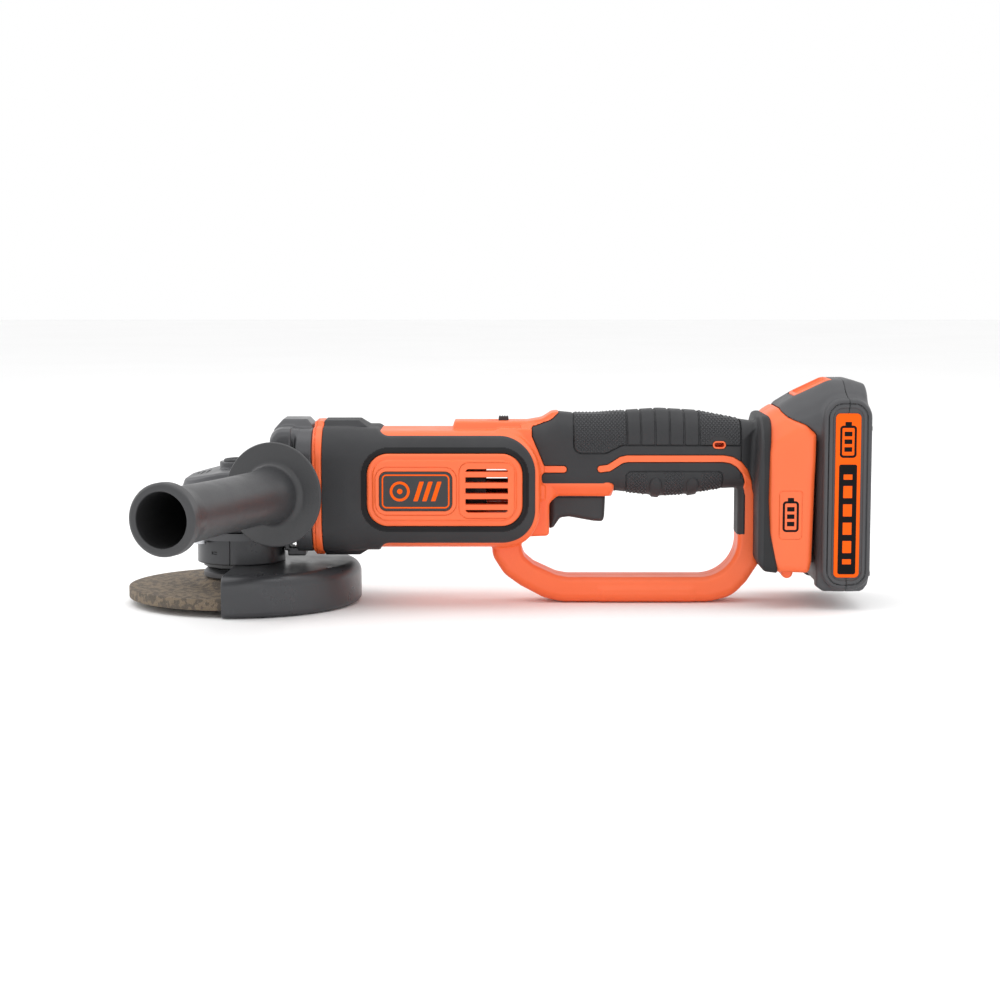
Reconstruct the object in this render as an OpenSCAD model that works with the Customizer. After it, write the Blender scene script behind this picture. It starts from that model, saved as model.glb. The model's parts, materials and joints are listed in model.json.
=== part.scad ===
// Cordless angle grinder with a closed D-handle, a slide-on battery and a side handle.
// Millimetres. +X runs back to the battery, +Z is up, and the side handle is on the -Y side.
// The origin is on the mid-plane, in the middle of the flat under the D-handle.
// So z = 0 is the surface it rests on.

/* [Spindle and disc] */
// Distance from the origin forward to the spindle axis
spindle_reach = 226; // [222:1:230]
// Radius of the grinding disc
disc_r = 62.5; // [60:0.5:63]
// Thickness of the grinding disc
disc_t = 6; // [5:0.5:6.5]
// Height of the underside of the disc's rim
disc_z = 3.5; // [3:0.5:4]
// Radius of the spindle's threaded end (M14)
thread_r = 7; // [6.9:0.1:7]

/* [Guard] */
// Outside radius of the guard's skirt
guard_r = 67; // [66.5:0.5:68]
// Height of the guard from its lip to the top of its plate
guard_h = 22.5; // [22:0.5:22.5]
// Thickness of the guard's sheet
guard_t = 1.8; // [1.6:0.1:2]
// Angle that the guard wraps
guard_sweep = 184; // [176:2:190]

/* [Motor] */
// Height of the motor axis
motor_z = 64.5; // [64:0.5:65]
// Outside radius of the motor's steel can
can_r = 26; // [25:0.5:26.5]
// Teeth on the pinion
pinion_teeth = 12; // [12:1:12]
// Teeth on the bevel gear
gear_teeth = 36; // [36:1:36]
// Pitch radius of the bevel gear
gear_r = 18.5; // [18.5:0.5:18.5]

/* [Housing] */
// Half width of the motor barrel's core
barrel_y = 31; // [31:0.5:32]
// Height of the barrel's core, top to bottom
barrel_h = 64; // [63:1:65]
// Half width of the handle's core, under its rubber
grip_y = 15.5; // [15:0.5:16]
// Thickness of the rubber on the sides of the handle
rubber_t = 3; // [2:0.5:3]
// Half width of the D-handle's bar
bow_y = 12; // [11:0.5:13]
// Half width of the battery foot
foot_y = 36; // [35.5:0.5:36.5]

/* [Side handle] */
// Angle by which the side handle leans forward
handle_lean = 20; // [18:1:22]
// Length of the side handle in front of its flange
handle_len = 120; // [112:1:122]
// Radius of the side handle's flange
handle_flange_r = 28.2; // [27:0.2:29]
// Radius of the handle's thread (M8)
stud_r = 3.95; // [3.9:0.01:3.98]

/* [Battery] */
// Half width of the battery over its raised sides
pack_y = 38; // [37.5:0.5:38]
// Rear face of the battery
pack_x = 121; // [120:1:122]
// Radius of one cell
cell_r = 9.2; // [9:0.1:9.25]
// Length of one cell
cell_len = 65; // [64:1:65]

/* [Hidden] */
$fn = 64;
orange = "#f0622c";
charcoal = "#3c3d40";
steel = "#b9bcc0";
copper = "#b8672c";

spindle_x = -spindle_reach;
// Stations along X, front to back
nose_x = -259;
hump_x = -210;
flange_x = -195;
trim_x = -183.3;
barrel_x = -178;
shroud_x = -148;
barrel_end_x = -62;
bulkhead_x = -74;
foot_x = 66;
foot_end_x = 90;
// Heights of the spindle's parts
nut_z = 2.5;
hub_z = 8;
flange_z = 14;
flange_t = 5;
seat_z = 27;
case_z = 41;
gear_z = 44;
needle_z = 61;
neck_r = 21;
// Running clearance on a radius
run = 0.04;
// Bevel pair
pitch_angle = atan(pinion_teeth / gear_teeth);
pinion_r = gear_r * pinion_teeth / gear_teeth;
cone_out = gear_r / cos(pitch_angle);
cone_in = cone_out - 5;
addendum = 0.7;
dedendum = 0.95;
// Side handle
boss_face = 45.1;
handle_z = 65;
handle_neck = 6.5;
handle_plate = 4;
handle_root = [-199, handle_z];
// Motor stations
fan_x = -181;
can_x = -165;
can_len = 57;
core_x = -160;
core_len = 46;
comm_x = -103;
comm_len = 13;
carrier_x = -107;
// Trigger and controls
trigger_x0 = -53.4;
trigger_x1 = -22.6;
trigger_y = 8;
trigger_top = 64;
switch_z = 73;
slider_x = -82;
// Battery
rail_x = 79.5;
pack_front = 90.4;
pack_split = 104;
cell_x = 106.2;
cell_pitch = 19;
cell_z = 22;
button_x = 89;
housing_screw_places = [[-150, 36], [-84, 91], [-58, 91.5], [-59, 46], [-62, 15], [40, 9], [54, 72],
    [0, 100]];

// Extrudes an outline drawn in X and Z from y0 to y1
module plate_y(y0, y1) {
    translate([0, y1, 0])
        rotate([90, 0, 0])
            linear_extrude(y1 - y0)
                children();
}

// Extrudes an outline drawn in Y and Z from x0 to x1
module plate_x(x0, x1) {
    translate([x0, 0, 0])
        rotate([90, 0, 90])
            linear_extrude(x1 - x0)
                children();
}

module rounded_rect(w, h, r) {
    square([w - 2 * r, h], center = true);
    square([w, h - 2 * r], center = true);
    for (a = [-1, 1], b = [-1, 1])
        translate([a * (w / 2 - r), b * (h / 2 - r)])
            circle(r);
}

// A bar along X with a rounded section, by its limits
module bar_x(x0, x1, y, z0, z1, r) {
    plate_x(x0, x1)
        translate([0, (z0 + z1) / 2])
            rounded_rect(2 * y, z1 - z0, r);
}

module box(lo, hi) {
    translate(lo)
        cube(hi - lo);
}

// A cylinder along X, from x0 to x1, at height z and offset y
module rod_x(x0, x1, r, z = motor_z, y = 0) {
    translate([x0, y, z])
        rotate([0, 90, 0])
            cylinder(h = x1 - x0, r = r);
}

// A cylinder along Y at (x, z)
module rod_y(x, z, y0, y1, r) {
    translate([x, y0, z])
        rotate([-90, 0, 0])
            cylinder(h = y1 - y0, r = r);
}

module tube_x(x0, x1, r_out, r_in) {
    difference() {
        rod_x(x0, x1, r_out);
        rod_x(x0 - 1, x1 + 1, r_in);
    }
}

// Stands its children on the spindle axis
module on_spindle() {
    translate([spindle_x, 0, 0])
        children();
}

// Turns a side handle's own frame, with Z outward, onto the left (-1) or right (1) boss
module on_boss(side) {
    translate([handle_root[0], side * boss_face, handle_root[1]])
        rotate([0, 0, side > 0 ? 90 + handle_lean : -90 - handle_lean])
            rotate([0, 90, 0])
                children();
}

// Keeps the left (-1) or right (1) half of its children
module half(side) {
    intersection() {
        children();
        translate([-300, side > 0 ? 0 : -60, -20])
            cube([460, 60, 180]);
    }
}

// A round coil spring along Z
module coil(r, wire, h, turns) {
    linear_extrude(height = h, twist = -360 * turns, slices = round(turns * 14), $fn = 8)
        translate([r, 0])
            circle(wire, $fn = 8);
}

module ball_bearing_ring(r_out, r_in, w) {
    difference() {
        cylinder(h = w, r = r_out);
        translate([0, 0, -1])
            cylinder(h = w + 2, r = r_in + run);
        for (z = [-0.01, w - 0.49])
            translate([0, 0, z])
                difference() {
                    cylinder(h = 0.5, r = r_out - (r_out - r_in) * 0.25);
                    cylinder(h = 0.5, r = r_in + (r_out - r_in) * 0.25);
                }
    }
}

// ---- gear head ----

gear_case_screw_places = [[-25, 38.5], [25, 38.5], [-25, 90.5], [25, 90.5]];
cover_screw_r = 28.5;

module gear_case_outer() {
    intersection() {
        translate([0, 0, case_z])
            linear_extrude(50)
                union() {
                    translate([spindle_x, 0])
                        circle(-spindle_x + nose_x + 66);
                    translate([spindle_x, -30])
                        square([flange_x - spindle_x, 60]);
                }
        plate_y(-40, 40)
            polygon([[nose_x - 1, case_z], [nose_x - 1, 60], [-253, 67.5], [-233, 72.5], [-212, 75.5],
                [flange_x, 76], [flange_x, case_z]]);
    }
    plate_y(-29, 29)
        union() {
            polygon([[hump_x, 50], [hump_x, 86], [hump_x + 11, 97], [flange_x, 97], [flange_x, 50]]);
            translate([hump_x + 11, 86])
                circle(11);
        }
    plate_y(-13, 13)
        polygon([[-203.5, 95], [-200, 101], [-187, 101], [-185, 98.5], [-185, 95]]);
    bar_x(flange_x, trim_x, 34, 30.5, 97.5, 14);
    for (side = [-1, 1])
        on_boss(side)
            translate([0, 0, -16])
                cylinder(h = 16, r = 11);
}

module gear_case() {
    color(charcoal)
        difference() {
            gear_case_outer();
            on_spindle() {
                translate([0, 0, case_z - 1])
                    difference() {
                        cylinder(h = 20.8, r = 22);
                        translate([0, 0, 20.4])
                            cylinder(h = 2, r = 6.6);
                    }
                translate([0, 0, needle_z])
                    cylinder(h = 8, r = 5);
                translate([0, 0, case_z])
                    cylinder(h = needle_z - case_z, r = 4.6);
                translate([-1.3, 0, 70])
                    cylinder(h = 20, r = 9.7);
                translate([-8.7, 0, 55])
                    cylinder(h = 20, r = 1.8 + 0.05);
                for (a = [45:90:315])
                    rotate([0, 0, a])
                        translate([cover_screw_r, 0, case_z - 1])
                            cylinder(h = 14, r = 2);
            }
            rod_x(spindle_x + 8, -203, 8.5);
            rod_x(-204, -196, 7);
            rod_x(-196, -188, 11);
            rod_x(-188, trim_x + 1, 24);
            for (p = gear_case_screw_places)
                rod_x(hump_x - 5, trim_x + 1, 2.2, p[1], p[0]);
            for (p = gear_case_screw_places)
                rod_x(hump_x - 5, flange_x, 4.2, p[1], p[0]);
            for (side = [-1, 1])
                on_boss(side)
                    translate([0, 0, -18])
                        cylinder(h = 20, r = 4);
            box([flange_x - 1, -2.8, 30], [-186, 2.8, 33.4]);
        }
}

module screw_x(x, len, p, r = 2, head_r = 3.9, head_h = 3) {
    difference() {
        union() {
            rod_x(x, x + head_h, head_r, p[1], p[0]);
            rod_x(x + head_h - 0.5, x + len, r, p[1], p[0]);
        }
        translate([x - 0.01, p[0], p[1]])
            rotate([0, 90, 0])
                cylinder(h = 1.6, r = 1.7, $fn = 6);
    }
}

module gear_case_screws() {
    color(steel)
        for (p = gear_case_screw_places)
            screw_x(flange_x - 3, 36, p);
}

module bearing_cover() {
    color(steel)
        difference() {
            on_spindle() {
                translate([0, 0, seat_z + 10])
                    cylinder(h = case_z - seat_z - 10, r = 32);
                translate([0, 0, flange_z + flange_t + 1.5])
                    cylinder(h = seat_z + 10.5 - flange_z - flange_t - 1.5, r = neck_r);
            }
            on_spindle() {
                translate([0, 0, seat_z])
                    cylinder(h = 20, r = 16);
                translate([0, 0, 5])
                    cylinder(h = 40, r = 9);
                for (a = [45:90:315])
                    rotate([0, 0, a])
                        translate([cover_screw_r, 0, 30])
                            cylinder(h = 14, r = 2.2);
            }
            box([-203, -40, 30], [-150, 40, 42]);
        }
}

module bearing_cover_screws() {
    color(steel)
        on_spindle()
            for (a = [45:90:315])
                rotate([0, 0, a])
                    translate([cover_screw_r, 0, 0])
                        difference() {
                            union() {
                                translate([0, 0, seat_z + 7.5])
                                    cylinder(h = 2.5, r = 3.2);
                                translate([0, 0, seat_z + 9.8])
                                    cylinder(h = 14, r = 1.95);
                            }
                            translate([0, 0, seat_z + 7.4])
                                cylinder(h = 1.3, r = 1.5, $fn = 6);
                        }
}

module trim_ring() {
    color(orange)
        difference() {
            bar_x(trim_x, barrel_x, 35, 30, 98.5, 15);
            rod_x(trim_x - 1, barrel_x + 1, 29);
            for (p = gear_case_screw_places)
                rod_x(trim_x - 1, barrel_x + 1, 2.2, p[1], p[0]);
        }
}

// ---- spindle line ----

module spindle() {
    color(steel)
        on_spindle()
            rotate_extrude()
                polygon([[0, 1.6], [6.4, 1.6], [thread_r, 2.4], [thread_r, flange_z + flange_t],
                    [8, flange_z + flange_t], [8, seat_z - 0.2], [7.4, seat_z], [6, seat_z], [6, gear_z],
                    [5, gear_z],
                    [5, 59.4], [3, 59.4], [3, needle_z + 7.8], [0, needle_z + 7.8]]);
}

// One straight tooth space, cut along the root cone
module tooth_space(x0, x1) {
    w = PI * gear_r / gear_teeth + 0.32;
    t = tan(20);
    rise = 1.6;
    polygon_w = [[-(w / 2 - dedendum * t), 0], [w / 2 - dedendum * t, 0],
        [w / 2 + rise * t, dedendum + rise], [-(w / 2 + rise * t), dedendum + rise]];
    plate_x(x0, x1)
        polygon(polygon_w);
}

module bevel_gear() {
    root_out = [gear_r - dedendum * sin(pitch_angle), motor_z - pinion_r - dedendum * cos(pitch_angle)];
    color(steel)
        on_spindle()
            difference() {
                rotate_extrude()
                    polygon([[5, gear_z], [9, gear_z], [9, 49], [18, 49], [18.9, 50],
                        [gear_r + addendum * sin(pitch_angle),
                        motor_z - pinion_r + addendum * cos(pitch_angle)],
                        [cone_in * cos(pitch_angle), motor_z - cone_in * sin(pitch_angle) + 0.5],
                        [13, 59], [5, 59]]);
                for (i = [0:gear_teeth - 1])
                    rotate([0, 0, i * 360 / gear_teeth])
                        translate([root_out[0], 0, root_out[1]])
                            rotate([0, 21.3, 0])
                                tooth_space(-7, 3);
                for (a = [0:90:270])
                    rotate([0, 0, a])
                        translate([8.7, 0, 45])
                            cylinder(h = 20, r = 2.3);
            }
}

module pinion() {
    step = 360 / pinion_teeth;
    plane = cone_out * cos(pitch_angle);
    color(steel)
        difference() {
            union() {
                translate([spindle_x + plane, 0, motor_z])
                    rotate([0, -90, 0])
                        linear_extrude(height = 5 * cos(pitch_angle), scale = cone_in / cone_out)
                            union() {
                                circle(5.15, $fn = 36);
                                for (i = [0:pinion_teeth - 1])
                                    rotate(180 + i * step)
                                        polygon([[4.6, -0.95], [6.17, -0.6], [6.85, -0.3], [6.85, 0.3],
                                            [6.17, 0.6], [4.6, 0.95]]);
                            }
                rod_x(spindle_x + plane, -203.2, 5.1);
            }
            rod_x(spindle_x, -200, 2.5);
        }
}

module upper_spindle_bearing() {
    color(steel)
        on_spindle()
            translate([0, 0, needle_z])
                difference() {
                    cylinder(h = 8, r = 5);
                    translate([0, 0, -1])
                        cylinder(h = 10, r = 3 + run);
                }
}

module lower_spindle_bearing() {
    color(steel)
        on_spindle()
            translate([0, 0, seat_z])
                ball_bearing_ring(16, 6, 10);
}

module inner_flange() {
    color(steel)
        on_spindle()
            rotate_extrude()
                polygon([[thread_r, hub_z + 1], [11, hub_z + 1], [11, flange_z], [20.5, flange_z],
                    [21, flange_z + 0.6],
                    [21, flange_z + 3], [19, flange_z + flange_t],
                    [thread_r, flange_z + flange_t]]);
}

module grinding_disc() {
    color("#6f6152")
        on_spindle()
            rotate_extrude()
                polygon([[11.1, hub_z], [20, hub_z], [27, disc_z], [disc_r, disc_z],
                    [disc_r, disc_z + disc_t],
                    [25, disc_z + disc_t], [18, flange_z], [11.1, flange_z]]);
}

module lock_nut() {
    color(steel)
        on_spindle()
            difference() {
                rotate_extrude()
                    polygon([[thread_r, nut_z], [17, nut_z], [18, nut_z + 1], [18, hub_z - 0.6],
                        [17.4, hub_z], [thread_r, hub_z]]);
                for (a = [0:90:270])
                    rotate([0, 0, a])
                        translate([12.8, 0, nut_z - 1])
                            cylinder(h = 4, r = 2.2);
            }
}

module spindle_lock_button() {
    color(charcoal)
        on_spindle()
            translate([-1.3, 0, 0])
                difference() {
                    union() {
                        rotate_extrude()
                            polygon([[0, 74.6], [9.5, 74.6], [9.5, 79.3], [8.4, 80.4], [0, 80.4]]);
                        for (a = [0:30:330])
                            rotate([0, 0, a])
                                translate([6, -0.5, 80.2])
                                    cube([2, 1, 0.7]);
                    }
                    translate([0, 0, 70])
                        cylinder(h = 8.6, r = 5.4);
                    translate([-7.4, 0, 70])
                        cylinder(h = 8, r = 1.8);
                }
}

module spindle_lock_pin() {
    color(steel)
        on_spindle()
            translate([-8.7, 0, 60.4])
                cylinder(h = 17.6, r = 1.8);
}

module spindle_lock_spring() {
    color(steel)
        on_spindle()
            translate([-1.3, 0, 70])
                coil(4.2, 0.5, 8.6, 4);
}

// ---- guard ----

module guard() {
    start = -guard_sweep / 2;
    top = guard_h;
    t = guard_t;
    r = guard_r;
    color(charcoal)
        on_spindle()
            rotate([0, 0, start])
                rotate_extrude(angle = guard_sweep)
                    polygon([[neck_r + 0.4, top - t], [r - 9, top - t], [r - 4.5, top - t - 1.2],
                        [r - t - 0.6, top - t - 4.4],
                        [r - t, top - 9], [r - t, 1.8], [r - t - 1.4, 1.2], [r - t - 1.4, 0], [r - 1, 0],
                        [r, 1],
                        [r, top - 8], [r - 1.2, top - 4.6], [r - 4, top - 1.4], [r - 8, top]]);
}

module guard_collar() {
    color(charcoal)
        on_spindle()
            difference() {
                translate([0, 0, guard_h])
                    cylinder(h = seat_z + 9.8 - guard_h, r = 24.5);
                translate([0, 0, 0])
                    cylinder(h = 60, r = neck_r + 0.05);
                rotate([0, 0, -160])
                    translate([24.5, 0, 30])
                        cube([3, 5.5, 0.8], center = true);
                rotate([0, 0, -116])
                    translate([24.5, 0, 30])
                        cube([0.8, 0.5, 30], center = true);
            }
}

module guard_latch() {
    color(charcoal)
        union() {
            box([-201.2, -6, 24.5], [-198.4, 6, 36.4]);
            box([-198.5, -6, 24.5], [-189.5, 6, 30.2]);
            box([flange_x + 0.5, -2.5, 30.1], [-189.5, 2.5, 33]);
        }
}

// ---- motor ----

module stator_can() {
    color(steel)
        difference() {
            rod_x(can_x, can_x + can_len, can_r);
            rod_x(can_x - 1, can_x + can_len + 1, can_r - 1.6);
        }
}

module stator_magnets() {
    color("#2b2b2d")
        for (side = [-1, 1])
            intersection() {
                tube_x(can_x + 4, can_x + 52, can_r - 1.65, 21.2);
                box([can_x, side > 0 ? 7 : -30, 30], [can_x + can_len, side > 0 ? 30 : -7, 100]);
            }
}

module brush_carrier() {
    color("#2b2b2d")
        difference() {
            rod_x(carrier_x, carrier_x + 18, can_r);
            rod_x(carrier_x - 1, carrier_x + 14, can_r - 3);
            rod_x(carrier_x + 13, carrier_x + 30, 11);
            for (a = [30:60:330])
                translate([carrier_x + 4, 0, motor_z])
                    rotate([a, 0, 0])
                        translate([0, -4, 18])
                            cube([8, 8, 12]);
        }
}

module carbon_brushes() {
    color("#2b2b2d")
        for (side = [-1, 1])
            difference() {
                box([comm_x + 2.5, side > 0 ? 9.1 : -22.5, motor_z - 3.5],
                    [comm_x + 9.5, side > 0 ? 22.5 : -9.1, motor_z + 3.5]);
                rod_x(comm_x, comm_x + comm_len, 9.15);
            }
}

module motor_shaft() {
    color(steel)
        union() {
            rod_x(-212.3, -203, 2.5);
            rod_x(-203, bulkhead_x - 0.5, 4 - run);
            rod_x(bulkhead_x - 0.6, bulkhead_x + 5.5, 3.5);
        }
}

module armature_core() {
    color("#77797c")
        difference() {
            rod_x(core_x, core_x + core_len, 20);
            rod_x(core_x - 1, core_x + core_len + 1, 4 - run);
            for (a = [0:30:330])
                translate([core_x - 1, 0, motor_z])
                    rotate([a, 0, 0])
                        translate([0, -1.6, 11])
                            cube([core_len + 2, 3.2, 7]);
            for (a = [0:30:330])
                translate([core_x - 1, 0, motor_z])
                    rotate([a, 0, 0])
                        translate([0, -0.6, 17])
                            cube([core_len + 2, 1.2, 5]);
        }
}

module armature_windings() {
    color(copper)
        for (x = [core_x - 5, core_x + core_len])
            difference() {
                rod_x(x, x + 5, 17.5);
                rod_x(x - 1, x + 6, 8);
            }
}

module commutator() {
    color(copper)
        difference() {
            rod_x(comm_x, comm_x + comm_len, 9);
            rod_x(comm_x - 1, comm_x + comm_len + 1, 4 - run);
            for (a = [0:15:345])
                translate([comm_x + 1.5, 0, motor_z])
                    rotate([a, 0, 0])
                        translate([0, -0.25, 8.2])
                            cube([comm_len, 0.5, 2]);
        }
}

module cooling_fan() {
    color("#2b2b2d")
        difference() {
            union() {
                rod_x(fan_x + 7, fan_x + 9, 26);
                rod_x(fan_x, fan_x + 9, 8);
                for (a = [0:24:336])
                    translate([fan_x, 0, motor_z])
                        rotate([a, 0, 0])
                            translate([0, 6, -0.7])
                                cube([8, 20, 1.4]);
            }
            rod_x(fan_x - 1, fan_x + 10, 4 - run);
        }
}

module front_motor_bearing() {
    color(steel)
        translate([-196, 0, motor_z])
            rotate([0, 90, 0])
                ball_bearing_ring(11, 4 - run, 7);
}

module rear_motor_bearing() {
    color(steel)
        translate([bulkhead_x, 0, motor_z])
            rotate([0, 90, 0])
                ball_bearing_ring(9.5, 3.5, 6);
}

// ---- housing ----

module bow_outline() {
    difference() {
        polygon([[-84.5, 33], [-84.5, 28], [-78.5, 16], [-70, 8.5], [-57, 2.2], [-46, 0], [35, 0], [47, 3],
            [55, 11], [63, 22], [63, 34], [60, 66], [-60, 40], [-66, 36]]);
        polygon([[-69, 34], [-67.5, 25.5], [-63, 21], [-50, 16], [-45.5, 14.8], [28, 14.8], [38, 18],
            [47, 26.5], [49.4, 34], [49.4, 80], [-53.7, 60], [-53.7, 37]]);
    }
}

module grip_core_outline() {
    polygon([[-63, 66], [-63, 97], [-56, 99], [-50, 102.6], [-40, 102.4], [-12, 103.6], [7, 104.8],
        [28, 103.4],
        [52, 99.4], [62, 97.5], [62, 64], [49.4, 66], [40, 66], [20, 62.6], [7, 61.8], [-11, 64.6],
        [-17.6, 64.7],
        [-17.6, 59.2], [-66, 59.2]]);
}

module foot_outline() {
    polygon([[foot_x, 24], [68, 21], [88, 21], [foot_end_x, 23], [foot_end_x, 96.5], [88, 99],
        [72.8, 107.6],
        [70.6, 109.6], [foot_x, 107.2]]);
}

module housing_outer() {
    bar_x(barrel_x, barrel_end_x, barrel_y, motor_z - barrel_h / 2, motor_z + barrel_h / 2, 16);
    bar_x(barrel_end_x - 0.01, -57, 22, 56, 98, 12);
    plate_y(-9, 9)
        polygon([[-108, 95], [-104, 100.4], [-60, 100.4], [-56, 98], [-56, 95]]);
    plate_y(-grip_y, grip_y)
        grip_core_outline();
    plate_y(-bow_y, bow_y)
        bow_outline();
    plate_y(-13, 13)
        polygon([[-68, 36], [-53.7, 36.4], [-53.7, 59.2], [-17.6, 59.2], [-14, 66], [-68, 66]]);
    plate_y(-grip_y - rubber_t, grip_y + rubber_t)
        polygon([[-27, 73.6], [-14, 77.7], [58, 77.7], [58, 80.5], [-15, 80.5], [-28, 76]]);
    bar_x(56, foot_x + 0.01, 30, 26, 101, 10);
    plate_y(-foot_y, foot_y)
        foot_outline();
}

module battery_channel(gap) {
    box([rail_x - gap, -25.5 - gap, 24 - gap], [85.8 + gap, 25.5 + gap, 94.5 + 60 * gap]);
    box([85, -19.5 - gap, 24 - gap], [foot_end_x + 2, 19.5 + gap, 94.5 + 60 * gap]);
}

module housing_cavities() {
    rod_x(barrel_x - 1, can_x + 3, 28.4);
    rod_x(can_x - 1, carrier_x + 19, can_r + 0.05);
    rod_x(carrier_x + 18, bulkhead_x, 25);
    rod_x(bulkhead_x - 1, bulkhead_x + 6, 9.52);
    for (p = gear_case_screw_places)
        rod_x(barrel_x - 1, barrel_x + 16, 2.05, p[1], p[0]);
    // room for the switch and the leads
    box([-52, -11, 69], [46, 11, 96]);
    box([-80, -5, 82], [-50, 5, 90]);
    box([44, -11, 80], [60, 11, 96]);
    box([58, -26, 30], [76.5, 26, 97]);
    box([-40, -8.5, 3], [30, 8.5, 11.8]);
    // trigger slot
    box([trigger_x0 - 0.15, -trigger_y - 0.3, 50], [trigger_x1 + 0.4, trigger_y + 0.3, 71.5]);
    // slot for the lock-off slider
    box([slider_x - 4.3, -2.8, 95], [slider_x + 5.8, 2.8, 104]);
    box([slider_x - 8, -5.3, 94], [slider_x + 8, 5.3, 98.2]);
    // vent windows behind the side panels
    for (side = [-1, 1])
        box([vent_x0 - 0.5, side > 0 ? 20 : -36, vent_z0 - 1], [vent_x1 + 0.5, side > 0 ? 36 : -20,
            vent_z1 + 1]);
    // battery channel, open at the top
    battery_channel(0.3);
    box([70, -25.8, 93], [95, 25.8, 115]);
    box([74, -16, 30], [80, 16, 56]);
    for (p = housing_screw_places)
        rod_y(p[0], p[1], -60, 60, 1.6);
}

module housing_left() {
    color(orange)
        half(-1)
            difference() {
                housing_outer();
                housing_cavities();
            }
}

module housing_right() {
    color(orange)
        half(1)
            difference() {
                housing_outer();
                housing_cavities();
            }
}

// Screws run in from the right and hold in the left half
module housing_screws() {
    color(steel)
        for (p = housing_screw_places)
            rod_y(p[0], p[1], -7.5, 8.5, 1.6);
}

panel_mid = [-111.3, 65.4];
// Vent in the side panels, crossed by four bars, with a window behind it in the housing
vent_x0 = -100;
vent_x1 = -77;
vent_z0 = 53.3;
vent_z1 = 77;
vent_bar_z = 56.2;
vent_bar_pitch = 5.95;
vent_bar_t = 3;

module panel_outline(grow = 0) {
    translate(panel_mid)
        rounded_rect(84.5 + 2 * grow, 39.5 + 2 * grow, 15 + grow);
}

module motor_overmold(side) {
    y_out = 34.5;
    color(charcoal)
        difference() {
            union() {
                bar_x(barrel_x, shroud_x, 35, 30, 98.5, 17);
                plate_y(-y_out, y_out)
                    translate([(shroud_x + barrel_end_x - 12) / 2, motor_z + 1])
                        rounded_rect(barrel_end_x - shroud_x + 12, 54, 24);
                plate_y(-14, 14)
                    polygon([[barrel_x, 90], [barrel_x, 101], [-159, 101], [-153, 97], [-150, 90]]);
                plate_y(-14, 14)
                    polygon([[barrel_x, 40], [barrel_x, 27.5], [-159, 27.5], [-153, 31], [-150, 40]]);
            }
            bar_x(barrel_x - 1, barrel_end_x + 10, barrel_y, motor_z - barrel_h / 2,
                motor_z + barrel_h / 2, 16);
            plate_y(-40, 40)
                panel_outline();
            box([-148, -12, 20], [0, 12, 40]);
            translate([-300, side > 0 ? -60 : 0, 0])
                cube([400, 60, 140]);
            for (p = housing_screw_places)
                rod_y(p[0], p[1], -60, 60, 3);
            for (p = gear_case_screw_places)
                rod_x(barrel_x - 1, barrel_x + 17, 2.2, p[1], p[0]);
        }
}

module motor_overmold_left() {
    motor_overmold(-1);
}

module motor_overmold_right() {
    motor_overmold(1);
}

badge_mid = [-127.2, 61.6 + 3.8];

module side_panel(side) {
    color(orange)
        difference() {
            plate_y(side > 0 ? barrel_y : -36.6, side > 0 ? 36.6 : -barrel_y)
                panel_outline();
            difference() {
                box([vent_x0, -40, vent_z0], [vent_x1, 40, vent_z1]);
                for (i = [0:3])
                    box([vent_x0 - 1, -41, vent_bar_z + i * vent_bar_pitch - vent_bar_t / 2],
                        [vent_x1 + 1, 41, vent_bar_z + i * vent_bar_pitch + vent_bar_t / 2]);
            }
            plate_y(side > 0 ? 36 : -50, side > 0 ? 50 : -36)
                translate(badge_mid)
                    rounded_rect(39.4, 21, 4);
        }
}

module side_panel_left() {
    side_panel(-1);
}

module side_panel_right() {
    side_panel(1);
}

module badge(side) {
    color(charcoal)
        plate_y(side > 0 ? 36 : -36.9, side > 0 ? 36.9 : -36)
            translate(badge_mid)
                rounded_rect(39.2, 20.8, 3.9);
}

module badge_left() {
    badge(-1);
}

module badge_right() {
    badge(1);
}

module grip_rubber(side) {
    y_out = grip_y + rubber_t;
    color(charcoal)
        difference() {
            union() {
                plate_y(-y_out, y_out)
                    polygon([[-56.8, 76.6], [-63.5, 97.6], [-57, 103.4], [-49, 106], [-40, 105],
                        [-30, 104.7],
                        [-12, 106.2], [7, 107.4], [28, 106], [52, 102], [58, 100.6], [58, 80.5],
                        [-15, 80.5],
                        [-28, 76], [-56, 76]]);
                plate_y(-y_out, y_out)
                    polygon([[-14, 64.8], [-11, 62], [7, 59.2], [20, 60], [40, 63.6], [47.5, 63.6],
                        [47.5, 77.7],
                        [-14, 77.7], [-24, 74.4], [-50, 74.4], [-50, 66.2], [-16, 66.2]]);
            }
            housing_outer();
            plate_y(-30, 30)
                grip_core_outline_inner();
            plate_y(-12.9, 12.9)
                polygon([[-70, 50], [-14, 50], [-14, 70], [-70, 70]]);
            translate([-300, side > 0 ? -60 : 0, 0])
                cube([400, 60, 140]);
            rod_y(0, 100, -60, 60, 3);
        }
}

// The part of the core's outline that also shows through the rubber, at the orange slot by the strap hole
module grip_core_outline_inner() {
    translate([42, 88.5])
        rounded_rect(8, 4.6, 2.2);
}

module grip_rubber_left() {
    grip_rubber(-1);
}

module grip_rubber_right() {
    grip_rubber(1);
}

module rear_bumper(side) {
    color(charcoal)
        difference() {
            bar_x(60, foot_x, 37.2, 19.4, 106, 12);
            housing_outer();
            box([50, -31, 27], [70, 31, 100]);
            translate([-300, side > 0 ? -60 : 0, 0])
                cube([400, 60, 140]);
        }
}

module rear_bumper_left() {
    rear_bumper(-1);
}

module rear_bumper_right() {
    rear_bumper(1);
}

// ---- controls ----

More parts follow.
